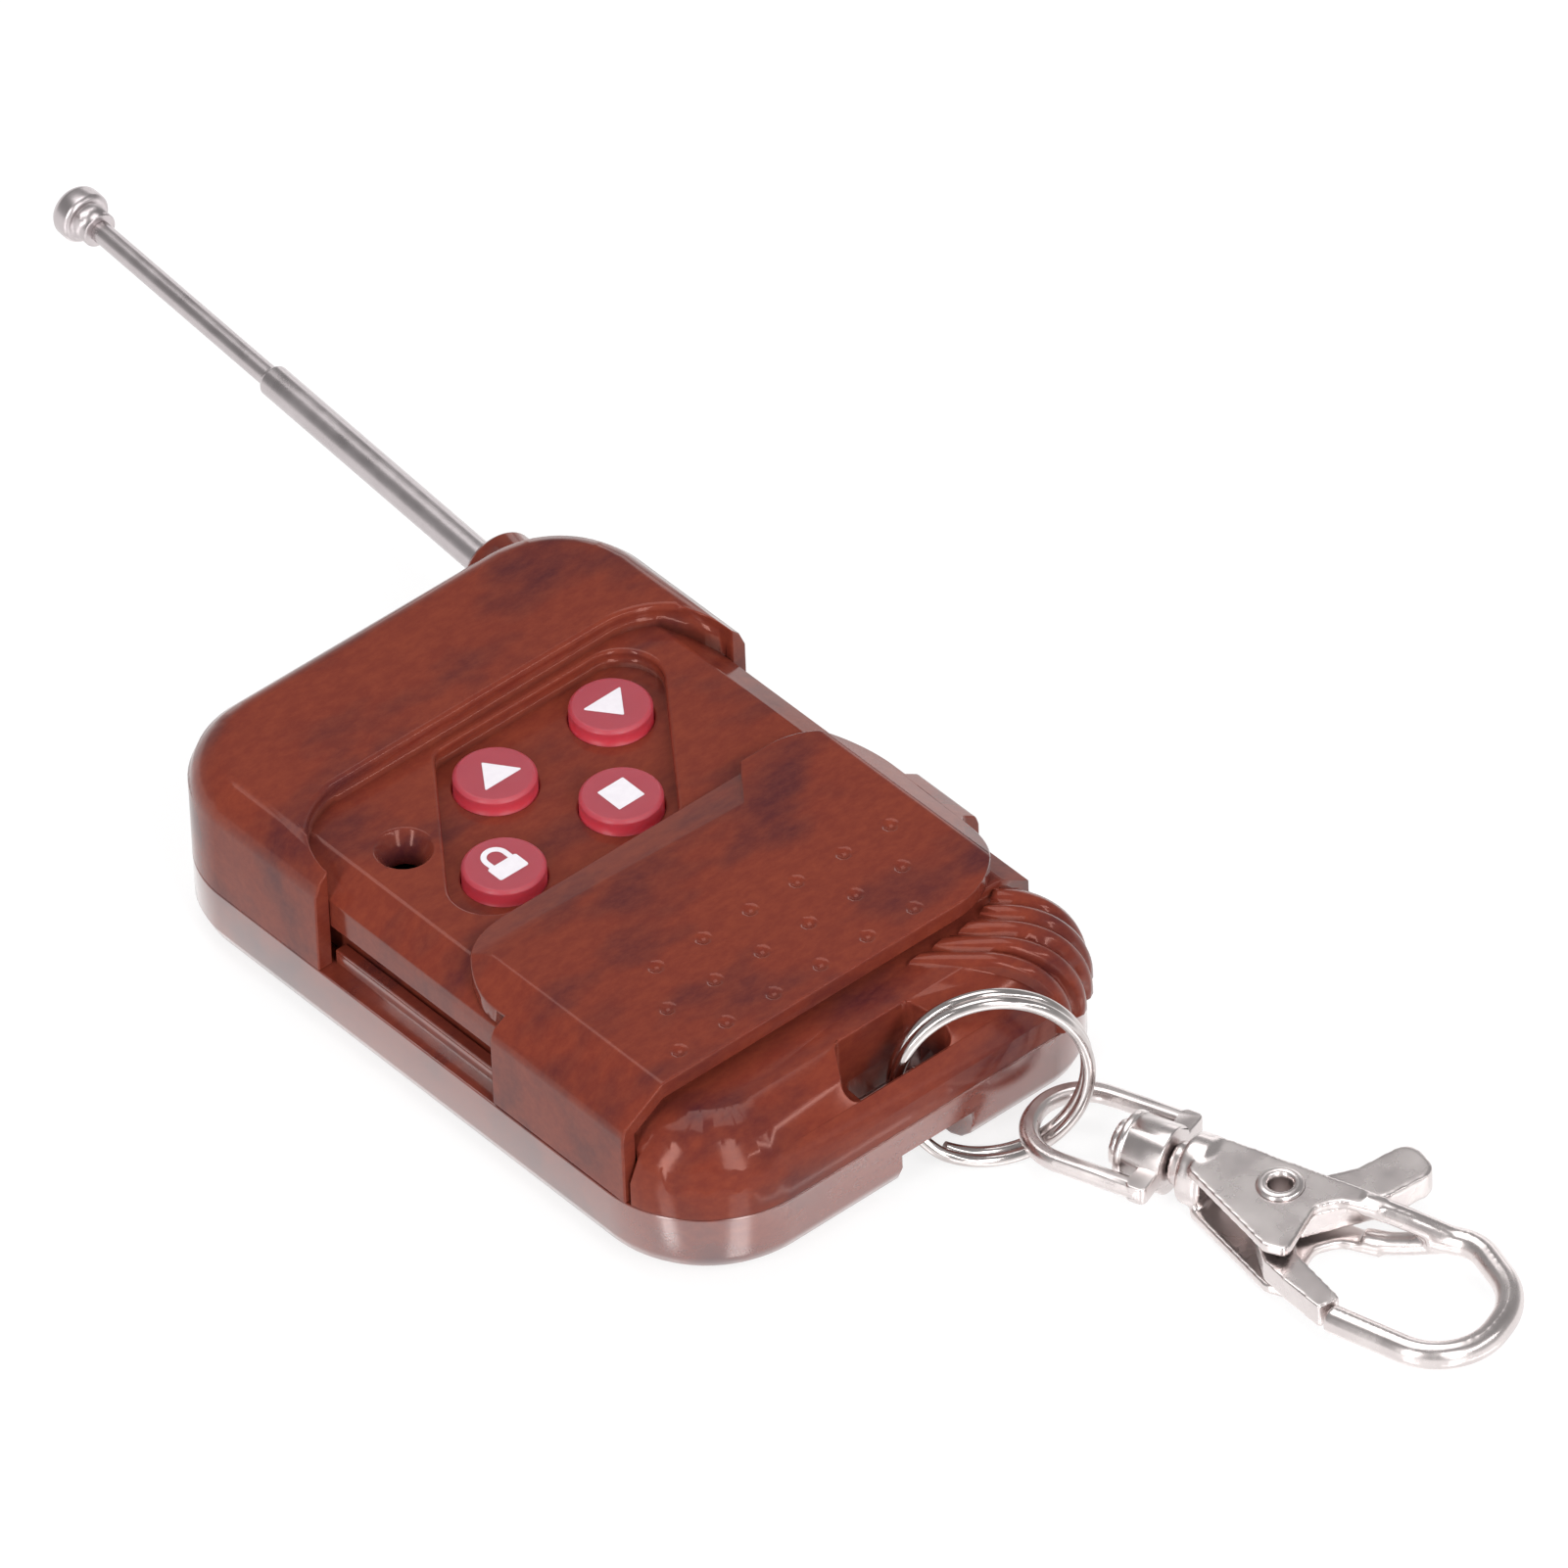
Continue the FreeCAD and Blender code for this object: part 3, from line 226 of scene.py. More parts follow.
def plated_metal(name, shade, glint, rough, cast):
    """Bright nickel plate over metal: it mirrors the room, with faint haze where the casting
    under the plate is uneven. cast is the size of that unevenness."""
    made, tree = material(name)
    place = places(tree)
    haze = add(tree, "ShaderNodeTexNoise",
               {"Vector": place, "Scale": per_mm(cast), "Detail": 3.0, "Roughness": 0.5}).outputs["Fac"]
    gloss = add(tree, "ShaderNodeMapRange",
                {"Value": haze, "From Min": 0.3, "From Max": 0.7,
                 "To Min": rough * 0.85, "To Max": rough * 1.2})
    tint = add(tree, "ShaderNodeValToRGB", {"Fac": haze}, stops=[(0.3, shade), (0.7, glint)])
    skin = add(tree, "ShaderNodeBump", {"Height": haze, "Strength": 0.15, "Distance": 0.01 * MM})
    shader = add(tree, "ShaderNodeBsdfPrincipled",
                 {"Base Color": tint.outputs["Color"], "Metallic": 1.0,
                  "Roughness": gloss.outputs["Result"], "Normal": skin.outputs[0]})
    finish_surface(tree, shader)
    return made


def fine_grained(name, low, high, size, rough, metallic=0.0):
    """A moulded, pressed or coated stock with a fine grain of the given size."""
    made, tree = material(name)
    place = places(tree)
    grit = add(tree, "ShaderNodeTexNoise",
               {"Vector": place, "Scale": per_mm(size), "Detail": 3.0}).outputs["Fac"]
    tint = add(tree, "ShaderNodeValToRGB", {"Fac": grit}, stops=[(0.35, low), (0.65, high)])
    gloss = add(tree, "ShaderNodeMapRange", {"Value": grit, "To Min": rough * 0.85, "To Max": rough * 1.15})
    skin = add(tree, "ShaderNodeBump", {"Height": grit, "Strength": 0.4, "Distance": 0.01 * MM})
    shader = add(tree, "ShaderNodeBsdfPrincipled",
                 {"Base Color": tint.outputs["Color"], "Metallic": metallic,
                  "Roughness": gloss.outputs["Result"], "Normal": skin.outputs[0]})
    finish_surface(tree, shader)
    return made


def solder_mask():
    """Fibreglass board under green solder mask: paler lines where copper tracks run below it."""
    made, tree = material("solder_mask_board")
    tracks = add(tree, "ShaderNodeTexBrick",
                 {"Vector": places(tree), "Scale": per_mm(5.0), "Mortar Size": 0.03,
                  "Color1": colour("#1B5130"), "Color2": colour("#1E5A36"), "Mortar": colour("#3F8A52")})
    shader = add(tree, "ShaderNodeBsdfPrincipled", {"Base Color": tracks.outputs["Color"], "Roughness": 0.35})
    finish_surface(tree, shader)
    return made


BURL = burl_abs("moulded_abs_burl")
SHELL = burl_abs("moulded_abs_burl_lacquered",
                 {"Coat Weight": 1.0, "Coat IOR": 2.1, "Coat Roughness": 0.2})
RESIN = red_resin()
NICKEL = plated_metal("nickel_plated_zinc", "#D2C9C8", "#DED6D4", 0.27, 2.5)
CHROME = plated_metal("chrome_plated_brass", "#B6AEAF", "#C2BABB", 0.30, 2.2)
SPRING_STEEL = plated_metal("nickel_plated_spring_steel", "#BEB6B4", "#CEC7C5", 0.16, 1.2)
INK = fine_grained("white_pad_print_ink", "#EAE4EA", "#EEE9EE", 0.5, 0.5)
BOARD = solder_mask()
EPOXY = fine_grained("moulded_black_epoxy", "#161618", "#222226", 0.25, 0.55)
TINNED = fine_grained("tinned_steel", "#A8A6A2", "#C4C2BE", 0.6, 0.32, metallic=1.0)
CERAMIC = fine_grained("chip_ceramic", "#A8926E", "#BCA886", 0.3, 0.6)
VINYL = fine_grained("shrunk_vinyl_sleeve", "#24356C", "#2E4284", 1.5, 0.3)
BRASS = fine_grained("drawn_brass", "#B08040", "#C89A58", 0.5, 0.3, metallic=1.0)
COPPER = fine_grained("enamelled_copper_wire", "#9C4E22", "#B8642E", 0.4, 0.28, metallic=1.0)
LAMP = fine_grained("red_lamp_resin", "#9A1620", "#B02028", 1.2, 0.15)
ZINC = fine_grained("zinc_plated_steel", "#9C9A94", "#BEBCB4", 0.4, 0.35, metallic=1.0)

# Moulded and turned pieces: copies of the CAD pieces with softened edges
DECK, CAP_TOP = 13.1, 14.9
LEVEL_SLACK = 0.03
RIM_TURN = 60
RIM_ROUND, DECK_ROUND, ROUND_STEPS = 0.5, 0.35, 4
DECK_HALF = 15.5
FOLD_RUN, FOLD_LOW, FOLD_TURNS = 5, 10.5, (12, 65)
COVER_FOLD_SHARE = 2.0
RIBS_FROM_X, RIBS_TO_Y, RIBS_FROM_Z = 8, -13.5, 6.1
JOINED_WITHIN = 0.002
FLAT_WITHIN = 0.6
BEVEL_STEPS, NORMAL_WEIGHT = 2, 60


def is_rim(edge, height):
    """Whether an outward edge lies at this height and turns sharply."""
    if len(edge.link_faces) != 2 or not edge.is_convex:
        return False
    if edge.calc_face_angle(0) < math.radians(RIM_TURN):
        return False
    return all(abs(v.co.z / MM - height) <= LEVEL_SLACK for v in edge.verts)


def is_deck_rim(edge):
    """Whether an edge is on the rim of the recess in the deck."""
    return is_rim(edge, DECK) and abs(edge.verts[0].co.x) < DECK_HALF * MM


def is_fold(edge):
    """Whether an edge is one of the long folds of the sliding cover."""
    run = edge.verts[1].co - edge.verts[0].co
    turn = math.degrees(edge.calc_face_angle(0))
    lengthwise = run.length > FOLD_RUN * MM and abs(run.normalized().y) > 0.99
    return lengthwise and FOLD_TURNS[0] < turn < FOLD_TURNS[1] and edge.verts[0].co.z > FOLD_LOW * MM


def on_ribs(edge):
    """Whether an edge lies on the grip ribs, whose flutes stay crisp."""
    middle = (edge.verts[0].co + edge.verts[1].co) / 2 / MM
    return middle.x > RIBS_FROM_X and middle.y < RIBS_TO_Y and middle.z > RIBS_FROM_Z


# Broad moulded rounds: which edges of a node get them, and their width
ROUNDS = {"upper_shell": [(lambda edge: is_rim(edge, CAP_TOP), RIM_ROUND), (is_deck_rim, DECK_ROUND)]}


def weigh_edges(work, node, angle):
    """Marks the outward edges that the bevel rounds. The cover's folds get a wider round."""
    weight = work.edges.layers.float.new("bevel_weight_edge")
    for edge in work.edges:
        if len(edge.link_faces) != 2 or not edge.is_convex or edge.calc_face_angle(0) < math.radians(angle):
            continue
        if node == "upper_shell" and on_ribs(edge):
            continue
        edge[weight] = 1.0 if node != "slide_cover" or is_fold(edge) else 1 / COVER_FOLD_SHARE


def finished_copy(node, skin, bevel, angle):
    """A copy of a CAD node with its loose triangles joined, its flats made one face each, and
    its edges sharper than the angle rounded by the bevel."""
    mesh = NODES[node].data.copy()
    work = bmesh.new()
    work.from_mesh(mesh)
    bmesh.ops.remove_doubles(work, verts=work.verts, dist=JOINED_WITHIN * MM)
    bmesh.ops.dissolve_limit(work, angle_limit=math.radians(FLAT_WITHIN), verts=work.verts, edges=work.edges)
    for chosen, width in ROUNDS.get(node, []):
        edges = [e for e in work.edges if chosen(e)]
        bmesh.ops.bevel(work, geom=edges, offset=width * MM, offset_type="OFFSET", segments=ROUND_STEPS,
                        profile=0.5, affect="EDGES", clamp_overlap=False, loop_slide=True)
    weigh_edges(work, node, angle)
    for face in work.faces:
        face.smooth = True
    work.to_mesh(mesh)
    work.free()
    coat_mesh(mesh, skin)
    mesh.name = node + "_finish"
    piece = new_piece(node + "_finish", mesh)
    soften = piece.modifiers.new("edge", "BEVEL")
    soften.limit_method = "WEIGHT"
    soften.width = bevel * MM
    soften.segments = BEVEL_STEPS
    soften.use_clamp_overlap = False
    shade = piece.modifiers.new("shade", "WEIGHTED_NORMAL")
    shade.keep_sharp = True
    shade.weight = NORMAL_WEIGHT
    return piece


def stands_for(piece, body, *nodes):
    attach(piece, body)
    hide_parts(*nodes)


# Node: its body, its skin, the width of its bevel and the angle in degrees from which an edge gets it
FINISHED = {
    "upper_shell": ("housing", BURL, 0.14, 38),
    "lower_shell": ("housing", SHELL, 0.14, 30),
    "slide_cover": ("slide_cover", BURL, 0.32, 20),
    "aerial_middle": ("aerial_middle", CHROME, 0.06, 30),
    "aerial_tip": ("aerial_tip", CHROME, 0.04, 30),
    "aerial_knob": ("aerial_tip", CHROME, 0.12, 25),
    "swivel_loop": ("swivel_loop", NICKEL, 0.16, 35),
}
for button in ("up", "down", "stop", "lock"):
    FINISHED["button_%s_cap" % button] = ("button_" + button, RESIN, 0.07, 30)
for node, (body, skin, bevel, angle) in FINISHED.items():
    stands_for(finished_copy(node, skin, bevel, angle), body, node)

# Signs printed on the buttons: outlines from each button's centre
BUTTON_TOP = 12.8
SIGN_LIFT, SIGN_DEPTH, SIGN_CORNER = 0.03, 0.05, 0.08
BUTTON_AT = {"up": (8.2, 11.5), "down": (-2.3, 11.5), "stop": (2.7, 4.0), "lock": (-7.9, 4.0)}
SIGN_OUTLINES = {
    "up": [(-1.80, 0.85), (1.66, 0.90), (-0.05, -1.50)],
    "down": [(0.02, 1.44), (1.68, -0.91), (-1.65, -0.93)],
    "stop": [(1.15, 1.17), (1.13, -1.18), (-1.18, -1.20), (-1.16, 1.16)],
}
LOCK_HALF, LOCK_TOP, LOCK_LOW, LOCK_CORNER = 1.27, 0.26, -1.20, 0.18
BOW_RADIUS, BOW_STROKE, BOW_RISE, BOW_STEPS = 0.83, 0.42, 0.6, 12


def eased_ring(points, radii, steps=4):
    """The same outline with rounded corners; radii is one radius or one for each corner."""
    out = []
    count = len(points)
    radii = radii if isinstance(radii, list) else [radii] * count
    for i, (here, radius) in enumerate(zip(points, radii)):
        here = Vector(here)
        if not radius:
            out.append(tuple(here))
            continue
        before = (Vector(points[i - 1]) - here).normalized()
        after = (Vector(points[(i + 1) % count]) - here).normalized()
        half = before.angle(after) / 2
        centre = here + (before + after).normalized() * (radius / math.sin(half))
        start = here + before * (radius / math.tan(half)) - centre
        end = here + after * (radius / math.tan(half)) - centre
        first = math.atan2(start.y, start.x)
        sweep = (math.atan2(end.y, end.x) - first + math.pi) % (2 * math.pi) - math.pi
        for k in range(steps + 1):
            turn = first + sweep * k / steps
            out.append((centre.x + radius * math.cos(turn), centre.y + radius * math.sin(turn)))
    return out


def padlock():
    """A padlock: the outline of its body and that of the bow over it."""
    body = eased_ring([(-LOCK_HALF, LOCK_LOW), (LOCK_HALF, LOCK_LOW), (LOCK_HALF, LOCK_TOP),
                       (-LOCK_HALF, LOCK_TOP)], LOCK_CORNER)
    wide, narrow = BOW_RADIUS + BOW_STROKE / 2, BOW_RADIUS - BOW_STROKE / 2
    outer, inner = [(-wide, LOCK_TOP)], [(-narrow, LOCK_TOP)]
    for k in range(BOW_STEPS + 1):
        a = math.pi * (1 - k / BOW_STEPS)
        for line, radius in ((outer, wide), (inner, narrow)):
            line.append((radius * math.cos(a), LOCK_TOP + BOW_RISE + radius * math.sin(a)))
    outer.append((wide, LOCK_TOP))
    inner.append((narrow, LOCK_TOP))
    return [body, outer + inner[::-1]]


def sign_mesh(name, rings, at):
    """Flat ink shapes a hair above the button, with a thin edge."""
    work = bmesh.new()
    for ring in rings:
        corners = [mm(at[0] + x, at[1] + y, BUTTON_TOP + SIGN_LIFT) for x, y in ring]
        face = work.faces.new([work.verts.new(corner) for corner in corners])
        face.normal_update()
        if face.normal.z < 0:
            face.normal_flip()
        lower = bmesh.ops.extrude_face_region(work, geom=[face])
        moved = [v for v in lower["geom"] if isinstance(v, bmesh.types.BMVert)]
        bmesh.ops.translate(work, verts=moved, vec=mm(0, 0, -SIGN_DEPTH))
    bmesh.ops.recalc_face_normals(work, faces=work.faces)
    mesh = new_mesh(name, work)
    coat_mesh(mesh, INK)
    return new_piece(name, mesh)


SIGNS = {name: [eased_ring(outline, SIGN_CORNER)] for name, outline in SIGN_OUTLINES.items()}
SIGNS["lock"] = padlock()
for name, rings in SIGNS.items():
    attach(sign_mesh("sign_" + name, rings, BUTTON_AT[name]), "button_" + name)

# Split ring: a wound wire of two turns, made by a node tree that follows the coil's rule
RING_RADIUS, RING_WIRE, RING_GAP = 6.7, 0.45, 0.04
RING_AZIMUTH, RING_TILT, RING_SPLIT = 238.0, 5.0, 225.0
RING_PASS = (0.45, -26.7)
SPLIT_GAP = 15.0
LAYER_CHANGE = 0.024
COIL_POINTS, WIRE_SIDES = 281, 20
FLOOR_GAP = 0.05


def ring_frame():
    """The ring's centre in metres and its directions: level, up along the ring, and its axis."""
    turn, tilt = math.radians(RING_AZIMUTH), math.radians(RING_TILT)
    normal = Vector((math.cos(turn) * math.cos(tilt), math.sin(turn) * math.cos(tilt), math.sin(tilt)))
    across = Vector((-math.sin(turn), math.cos(turn), 0))
    upward = normal.cross(across)
    height = (RING_RADIUS + RING_WIRE) * math.cos(tilt) + (RING_WIRE + RING_GAP / 2) * math.sin(tilt)
    centre = Vector((*RING_PASS, height + FLOOR_GAP)) + across * RING_RADIUS
    return centre * MM, across, upward, normal


def node_group(name, sizes):
    """An empty geometry tree whose inputs are the named sizes, and the sockets of its group input."""
    tree = bpy.data.node_groups.new(name, "GeometryNodeTree")
    tree.interface.new_socket("Geometry", in_out="OUTPUT", socket_type="NodeSocketGeometry")
    tree.interface.new_socket("Geometry", in_out="INPUT", socket_type="NodeSocketGeometry")
    for label, kind in sizes:
        tree.interface.new_socket(label, in_out="INPUT", socket_type=kind)
    return tree, tree.nodes.new("NodeGroupInput").outputs


def calculated(tree, operation, *values):
    """The socket of a sum that the tree does with these values or sockets."""
    return add(tree, "ShaderNodeMath", dict(enumerate(values)), operation=operation).outputs[0]


def end_tree(tree, shape, skin):
    """Makes the tree's instances real, gives them their material and hands them out."""
    real = add(tree, "GeometryNodeRealizeInstances", {"Geometry": shape})
    coat = add(tree, "GeometryNodeSetMaterial", {"Geometry": real.outputs[0], "Material": skin})
    add(tree, "NodeGroupOutput", {"Geometry": coat.outputs[0]})


def baked(name, tree, values, body, skin, spots=()):
    """Runs a geometry tree on a mesh of loose points and keeps what it makes as a plain mesh."""
    seed = bpy.data.meshes.new(name + "_seed")
    seed.from_pydata([tuple(spot) for spot in spots], [], [])
    carrier = new_piece(name + "_tree", seed)
    modifier = carrier.modifiers.new("tree", "NODES")
    modifier.node_group = tree
    for item in tree.interface.items_tree:
        if item.in_out == "INPUT" and item.name in values:
            modifier[item.identifier] = values[item.name]
    mesh = evaluated_mesh(carrier, name)
    coat_mesh(mesh, skin)
    for face in mesh.polygons:
        face.material_index = 0
    bpy.data.objects.remove(carrier)
    piece = new_piece(name, mesh)
    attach(piece, body)
    return piece


def coil_tree(name, skin):
    """A coil that steps from one layer to the next inside a short arc, as a split ring does."""
    lengths = [(label, "NodeSocketFloat") for label in ("Radius", "Wire", "Layer", "Start", "Sweep")]
    tree, out = node_group(name, lengths + [("Points", "NodeSocketInt")])
    line = add(tree, "GeometryNodeMeshLine", {"Count": out["Points"], "Offset": (0, 0, 0)}, mode="OFFSET")
    index = add(tree, "GeometryNodeInputIndex").outputs[0]
    share = calculated(tree, "DIVIDE", index, calculated(tree, "SUBTRACT", out["Points"], 1.0))
    angle = calculated(tree, "MULTIPLY_ADD", share, out["Sweep"], out["Start"])
    x = calculated(tree, "MULTIPLY", calculated(tree, "COSINE", angle), out["Radius"])
    y = calculated(tree, "MULTIPLY", calculated(tree, "SINE", angle), out["Radius"])
    shift = add(tree, "ShaderNodeMapRange",
                {"Value": share, "From Min": 0.5 - LAYER_CHANGE, "From Max": 0.5 + LAYER_CHANGE,
                 "To Min": -1.0, "To Max": 1.0}, interpolation_type="SMOOTHSTEP").outputs[0]
    z = calculated(tree, "MULTIPLY", shift, out["Layer"])
    spot = add(tree, "ShaderNodeCombineXYZ", {"X": x, "Y": y, "Z": z}).outputs[0]
    placed = add(tree, "GeometryNodeSetPosition", {"Geometry": line.outputs[0], "Position": spot})
    curve = add(tree, "GeometryNodeMeshToCurve", {"Mesh": placed.outputs[0]})
    profile = add(tree, "GeometryNodeCurvePrimitiveCircle", {"Resolution": WIRE_SIDES, "Radius": out["Wire"]})
    wire = add(tree, "GeometryNodeCurveToMesh",
               {"Curve": curve.outputs[0], "Profile Curve": profile.outputs[0], "Fill Caps": True})
    end_tree(tree, wire.outputs[0], skin)
    return tree


COIL_SIZES = {"Radius": RING_RADIUS * MM, "Wire": RING_WIRE * MM, "Layer": (RING_WIRE + RING_GAP / 2) * MM,
              "Start": math.radians(RING_SPLIT + SPLIT_GAP), "Sweep": math.radians(720 - 2 * SPLIT_GAP),
              "Points": COIL_POINTS}
ring = baked("split_ring_wire", coil_tree("split_ring_coil", SPRING_STEEL), COIL_SIZES,
             "split_ring", SPRING_STEEL)
ring_centre, *ring_axes = ring_frame()
ring.data.transform(Matrix.Translation(ring_centre) @ Matrix(ring_axes).transposed().to_4x4())
for face in ring.data.polygons:
    face.use_smooth = len(face.vertices) < 5
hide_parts("split_ring")

# Clasp: a runs away from the case along the swivel, b across it, as in the CAD
COLLAR_R, CLASP_YAW, LOOP_REACH = 2.6, 20.0, 10.4
PLATE_IN, PLATE_OUT = 1.45, 2.25
HOOK_R, STRUT_R = 1.0, 0.82
RIVET, RIVET_BORE, BORE_HALF = (6.8, -1.0), 1.17, 4
FRAME_GRID, LEVER_GRID, CAST_ROUNDS, CAST_EASE = 0.14, 0.12, 8, 0.5
HUB_R, LEVER_HALF, GATE_HALF = 2.1, 1.0, 0.95
SWIVEL_PROFILE = [(-6.3, 1.2), (-6.2, 1.7), (-5.6, 1.75), (-5.5, 1.03), (-1.8, 1.03), (-1.7, 1.6),
                  (-0.8, 1.6), (-0.7, COLLAR_R - 0.15), (-0.5, COLLAR_R), (0.9, COLLAR_R),
                  (1.3, COLLAR_R - 0.3)]
PLATE = eased_ring([(0.4, -2.4), (8.6, -6.8), (10.3, -6.6), (9.9, -1.9), (11.2, -0.5), (14.0, -0.2),
                    (14.0, 1.3), (0.4, 1.5)], [0.6, 1.0, 0.6, 1.3, 1.5, 0.3, 0.3, 0.6], 8)
SPACER = eased_ring([(0.4, 0.5), (4.6, 0.5), (4.6, 1.5), (0.4, 1.5)], 0.2)
STRUT = [(12.4, 0.5, 1.6), (14.2, 0.75, 1.45), (15.8, 1.05, 1.05), (17.2, 1.35, 0.6), (18.4, 1.55, 0.25),
         (19.4, 1.65, 0)]
HOOK = eased_ring([(17.0, 1.3), (20.4, 1.9), (25.3, -1.6), (25.3, -9.8), (14.75, -8.95)],
                  [0, 3.0, 5.0, 4.4, 0], 14)
EYELET = [(0.85, 2.0), (0.92, 2.48), (1.15, 2.62), (1.5, 2.56), (1.68, 2.38), (1.72, 2.26), (1.12, 2.24)]
THUMB = eased_ring([(5.6, -0.4), (8.8, -2.2), (13.2, 2.6), (15.0, 6.4), (11.9, 8.3), (10.0, 4.2)],
                   [0.3, 0.3, 2.0, 1.3, 1.3, 2.0], 6)
GATE = eased_ring([(6.0, -3.0), (8.8, -2.6), (10.2, -5.2), (14.95, -7.75), (14.15, -9.35), (11.0, -8.1),
                   (8.6, -6.9), (7.0, -5.0)], [0.3, 0.4, 1.0, 0.2, 0.2, 1.0, 0.8, 0.6], 6)


def clasp_frame():
    """The clasp's origin in metres, its a and b directions."""
    yaw = math.radians(CLASP_YAW)
    along = Vector((math.sin(yaw), -math.cos(yaw), 0))
    across = Vector((math.cos(yaw), math.sin(yaw), 0))
    centre, level, upward, _ = ring_frame()
    height = (COLLAR_R + FLOOR_GAP) * MM
    drop = (height - centre.z) / upward.z
    hang = centre + level * math.sqrt((RING_RADIUS * MM) ** 2 - drop ** 2) + upward * drop
    return Vector((hang.x, hang.y, height)) + along * LOOP_REACH * MM, along, across


CLASP_ORIGIN, CLASP_A, CLASP_B = clasp_frame()


def on_clasp(a, b, z=0):
    return CLASP_ORIGIN + (CLASP_A * a + CLASP_B * b + Vector((0, 0, z))) * MM


def circle(radius, sides, centre=(0, 0)):
    """The corners of a regular polygon."""
    turns = [2 * math.pi * k / sides for k in range(sides)]
    return [(centre[0] + radius * math.cos(t), centre[1] + radius * math.sin(t)) for t in turns]


def loft(work, rings, closed=False):
    """A shell through rings of the same count of points, capped at both ends or closed on itself."""
    made = [[work.verts.new(p) for p in ring] for ring in rings]
    count = len(made[0])
    for low, high in zip(made, made[1:] + made[:1] if closed else made[1:]):
        for i in range(count):
            j = (i + 1) % count
            work.faces.new((low[i], low[j], high[j], high[i]))
    if not closed:
        work.faces.new(made[0][::-1])
        work.faces.new(made[-1])


def flat_shape(work, outline, z0, z1):
    loft(work, [[on_clasp(a, b, z) for a, b in outline] for z in (z0, z1)])


def turned_shape(work, profile, sides=40):
    """A shape turned about the swivel's axis, from rows of a and radius."""
    loft(work, [[on_clasp(a, b, z) for b, z in circle(radius, sides)] for a, radius in profile])


def bent_bar(work, line, radius, sides=20):
    """A round bar along a line of (a, b) or (a, b, z) points."""
    rings = []
    points = [on_clasp(*place) for place in line]
    for i, here in enumerate(points):
        run = (points[min(i + 1, len(points) - 1)] - points[max(i - 1, 0)]).normalized()
        side = run.cross(Vector((0, 0, 1))).normalized()
        top = side.cross(run)
        rings.append([here + (side * u + top * v) * MM for u, v in circle(radius, sides)])
    loft(work, rings)


def shell_object(name, work):
    bmesh.ops.recalc_face_normals(work, faces=work.faces)
    return new_piece(name, new_mesh(name, work))


def melted(piece, label, grid):
    """Adds a modifier that makes one skin of voxels round what the piece holds."""
    melt = piece.modifiers.new(label, "REMESH")
    melt.mode = "VOXEL"
    melt.voxel_size = grid * MM


def cast_piece(name, solid, grid):
    """Melts overlapping shapes into one nickel casting with soft corners, bored for the rivet: voxels,
    the bore, then smoothing."""
    body = shell_object(name, solid)
    melted(body, "melt", grid)
    hollow = bmesh.new()
    flat_shape(hollow, circle(RIVET_BORE, 40, RIVET), -BORE_HALF, BORE_HALF)
    cutter = shell_object(name + "_cutter", hollow)
    cut = body.modifiers.new("cut", "BOOLEAN")
    cut.operation = "DIFFERENCE"
    cut.solver = "EXACT"
    cut.object = cutter
    melted(body, "grid", grid)
    ease = body.modifiers.new("ease", "SMOOTH")
    ease.factor = CAST_EASE
    ease.iterations = CAST_ROUNDS
    mesh = evaluated_mesh(body, name)
    bpy.data.objects.remove(cutter)
    bpy.data.objects.remove(body)
    coat_mesh(mesh, NICKEL)
    for face in mesh.polygons:
        face.use_smooth = True
    return new_piece(name, mesh)


frame_work = bmesh.new()
turned_shape(frame_work, SWIVEL_PROFILE)
flat_shape(frame_work, PLATE, PLATE_IN, PLATE_OUT)
flat_shape(frame_work, PLATE, -PLATE_OUT, -PLATE_IN)
flat_shape(frame_work, SPACER, -PLATE_OUT, PLATE_OUT)
for side in (-1, 1):
    bent_bar(frame_work, [(a, b, side * z) for a, b, z in STRUT], STRUT_R)
bent_bar(frame_work, HOOK, HOOK_R)
stands_for(cast_piece("clasp_frame", frame_work, FRAME_GRID), "clasp", "clasp_body")

# The hollow rivet, flared over both plates, from rows of radius and height of its upper half
rivet_work = bmesh.new()
loft(rivet_work, [[on_clasp(a, b, z) for a, b in circle(radius, 48, RIVET)]
                  for radius, z in EYELET + [(r, -z) for r, z in reversed(EYELET)]], closed=True)
eyelet = shell_object("clasp_eyelet", rivet_work)
coat_mesh(eyelet.data, NICKEL)
for face in eyelet.data.polygons:
    face.use_smooth = True
stands_for(eyelet, "clasp", "clasp_rivet")

lever_work = bmesh.new()
flat_shape(lever_work, circle(HUB_R, 40, RIVET), -LEVER_HALF, LEVER_HALF)
flat_shape(lever_work, THUMB, -LEVER_HALF, LEVER_HALF)
flat_shape(lever_work, GATE, -GATE_HALF, GATE_HALF)
stands_for(cast_piece("clasp_thumb_lever", lever_work, LEVER_GRID), "clasp_lever", "clasp_lever")

# Housing screws: round heads with a cross recess, set at the points of a seed mesh
SCREW_SPOTS = [(-13.0, 21.8), (7.6, 22.4), (-10.8, -21.6), (11.0, -21.6)]
SCREW_FACE, SCREW_SEAT, SCREW_TIP = 0.2, 1.2, 9.4
SCREW_SIDES = 40
SCREW_SIZES = {"Head radius": 1.8 * MM, "Head height": (SCREW_SEAT - SCREW_FACE) * MM,
               "Shank radius": 0.95 * MM, "Shank length": (SCREW_TIP - SCREW_SEAT) * MM,
               "Slot length": 2.3 * MM, "Slot width": 0.5 * MM, "Slot depth": 0.6 * MM}


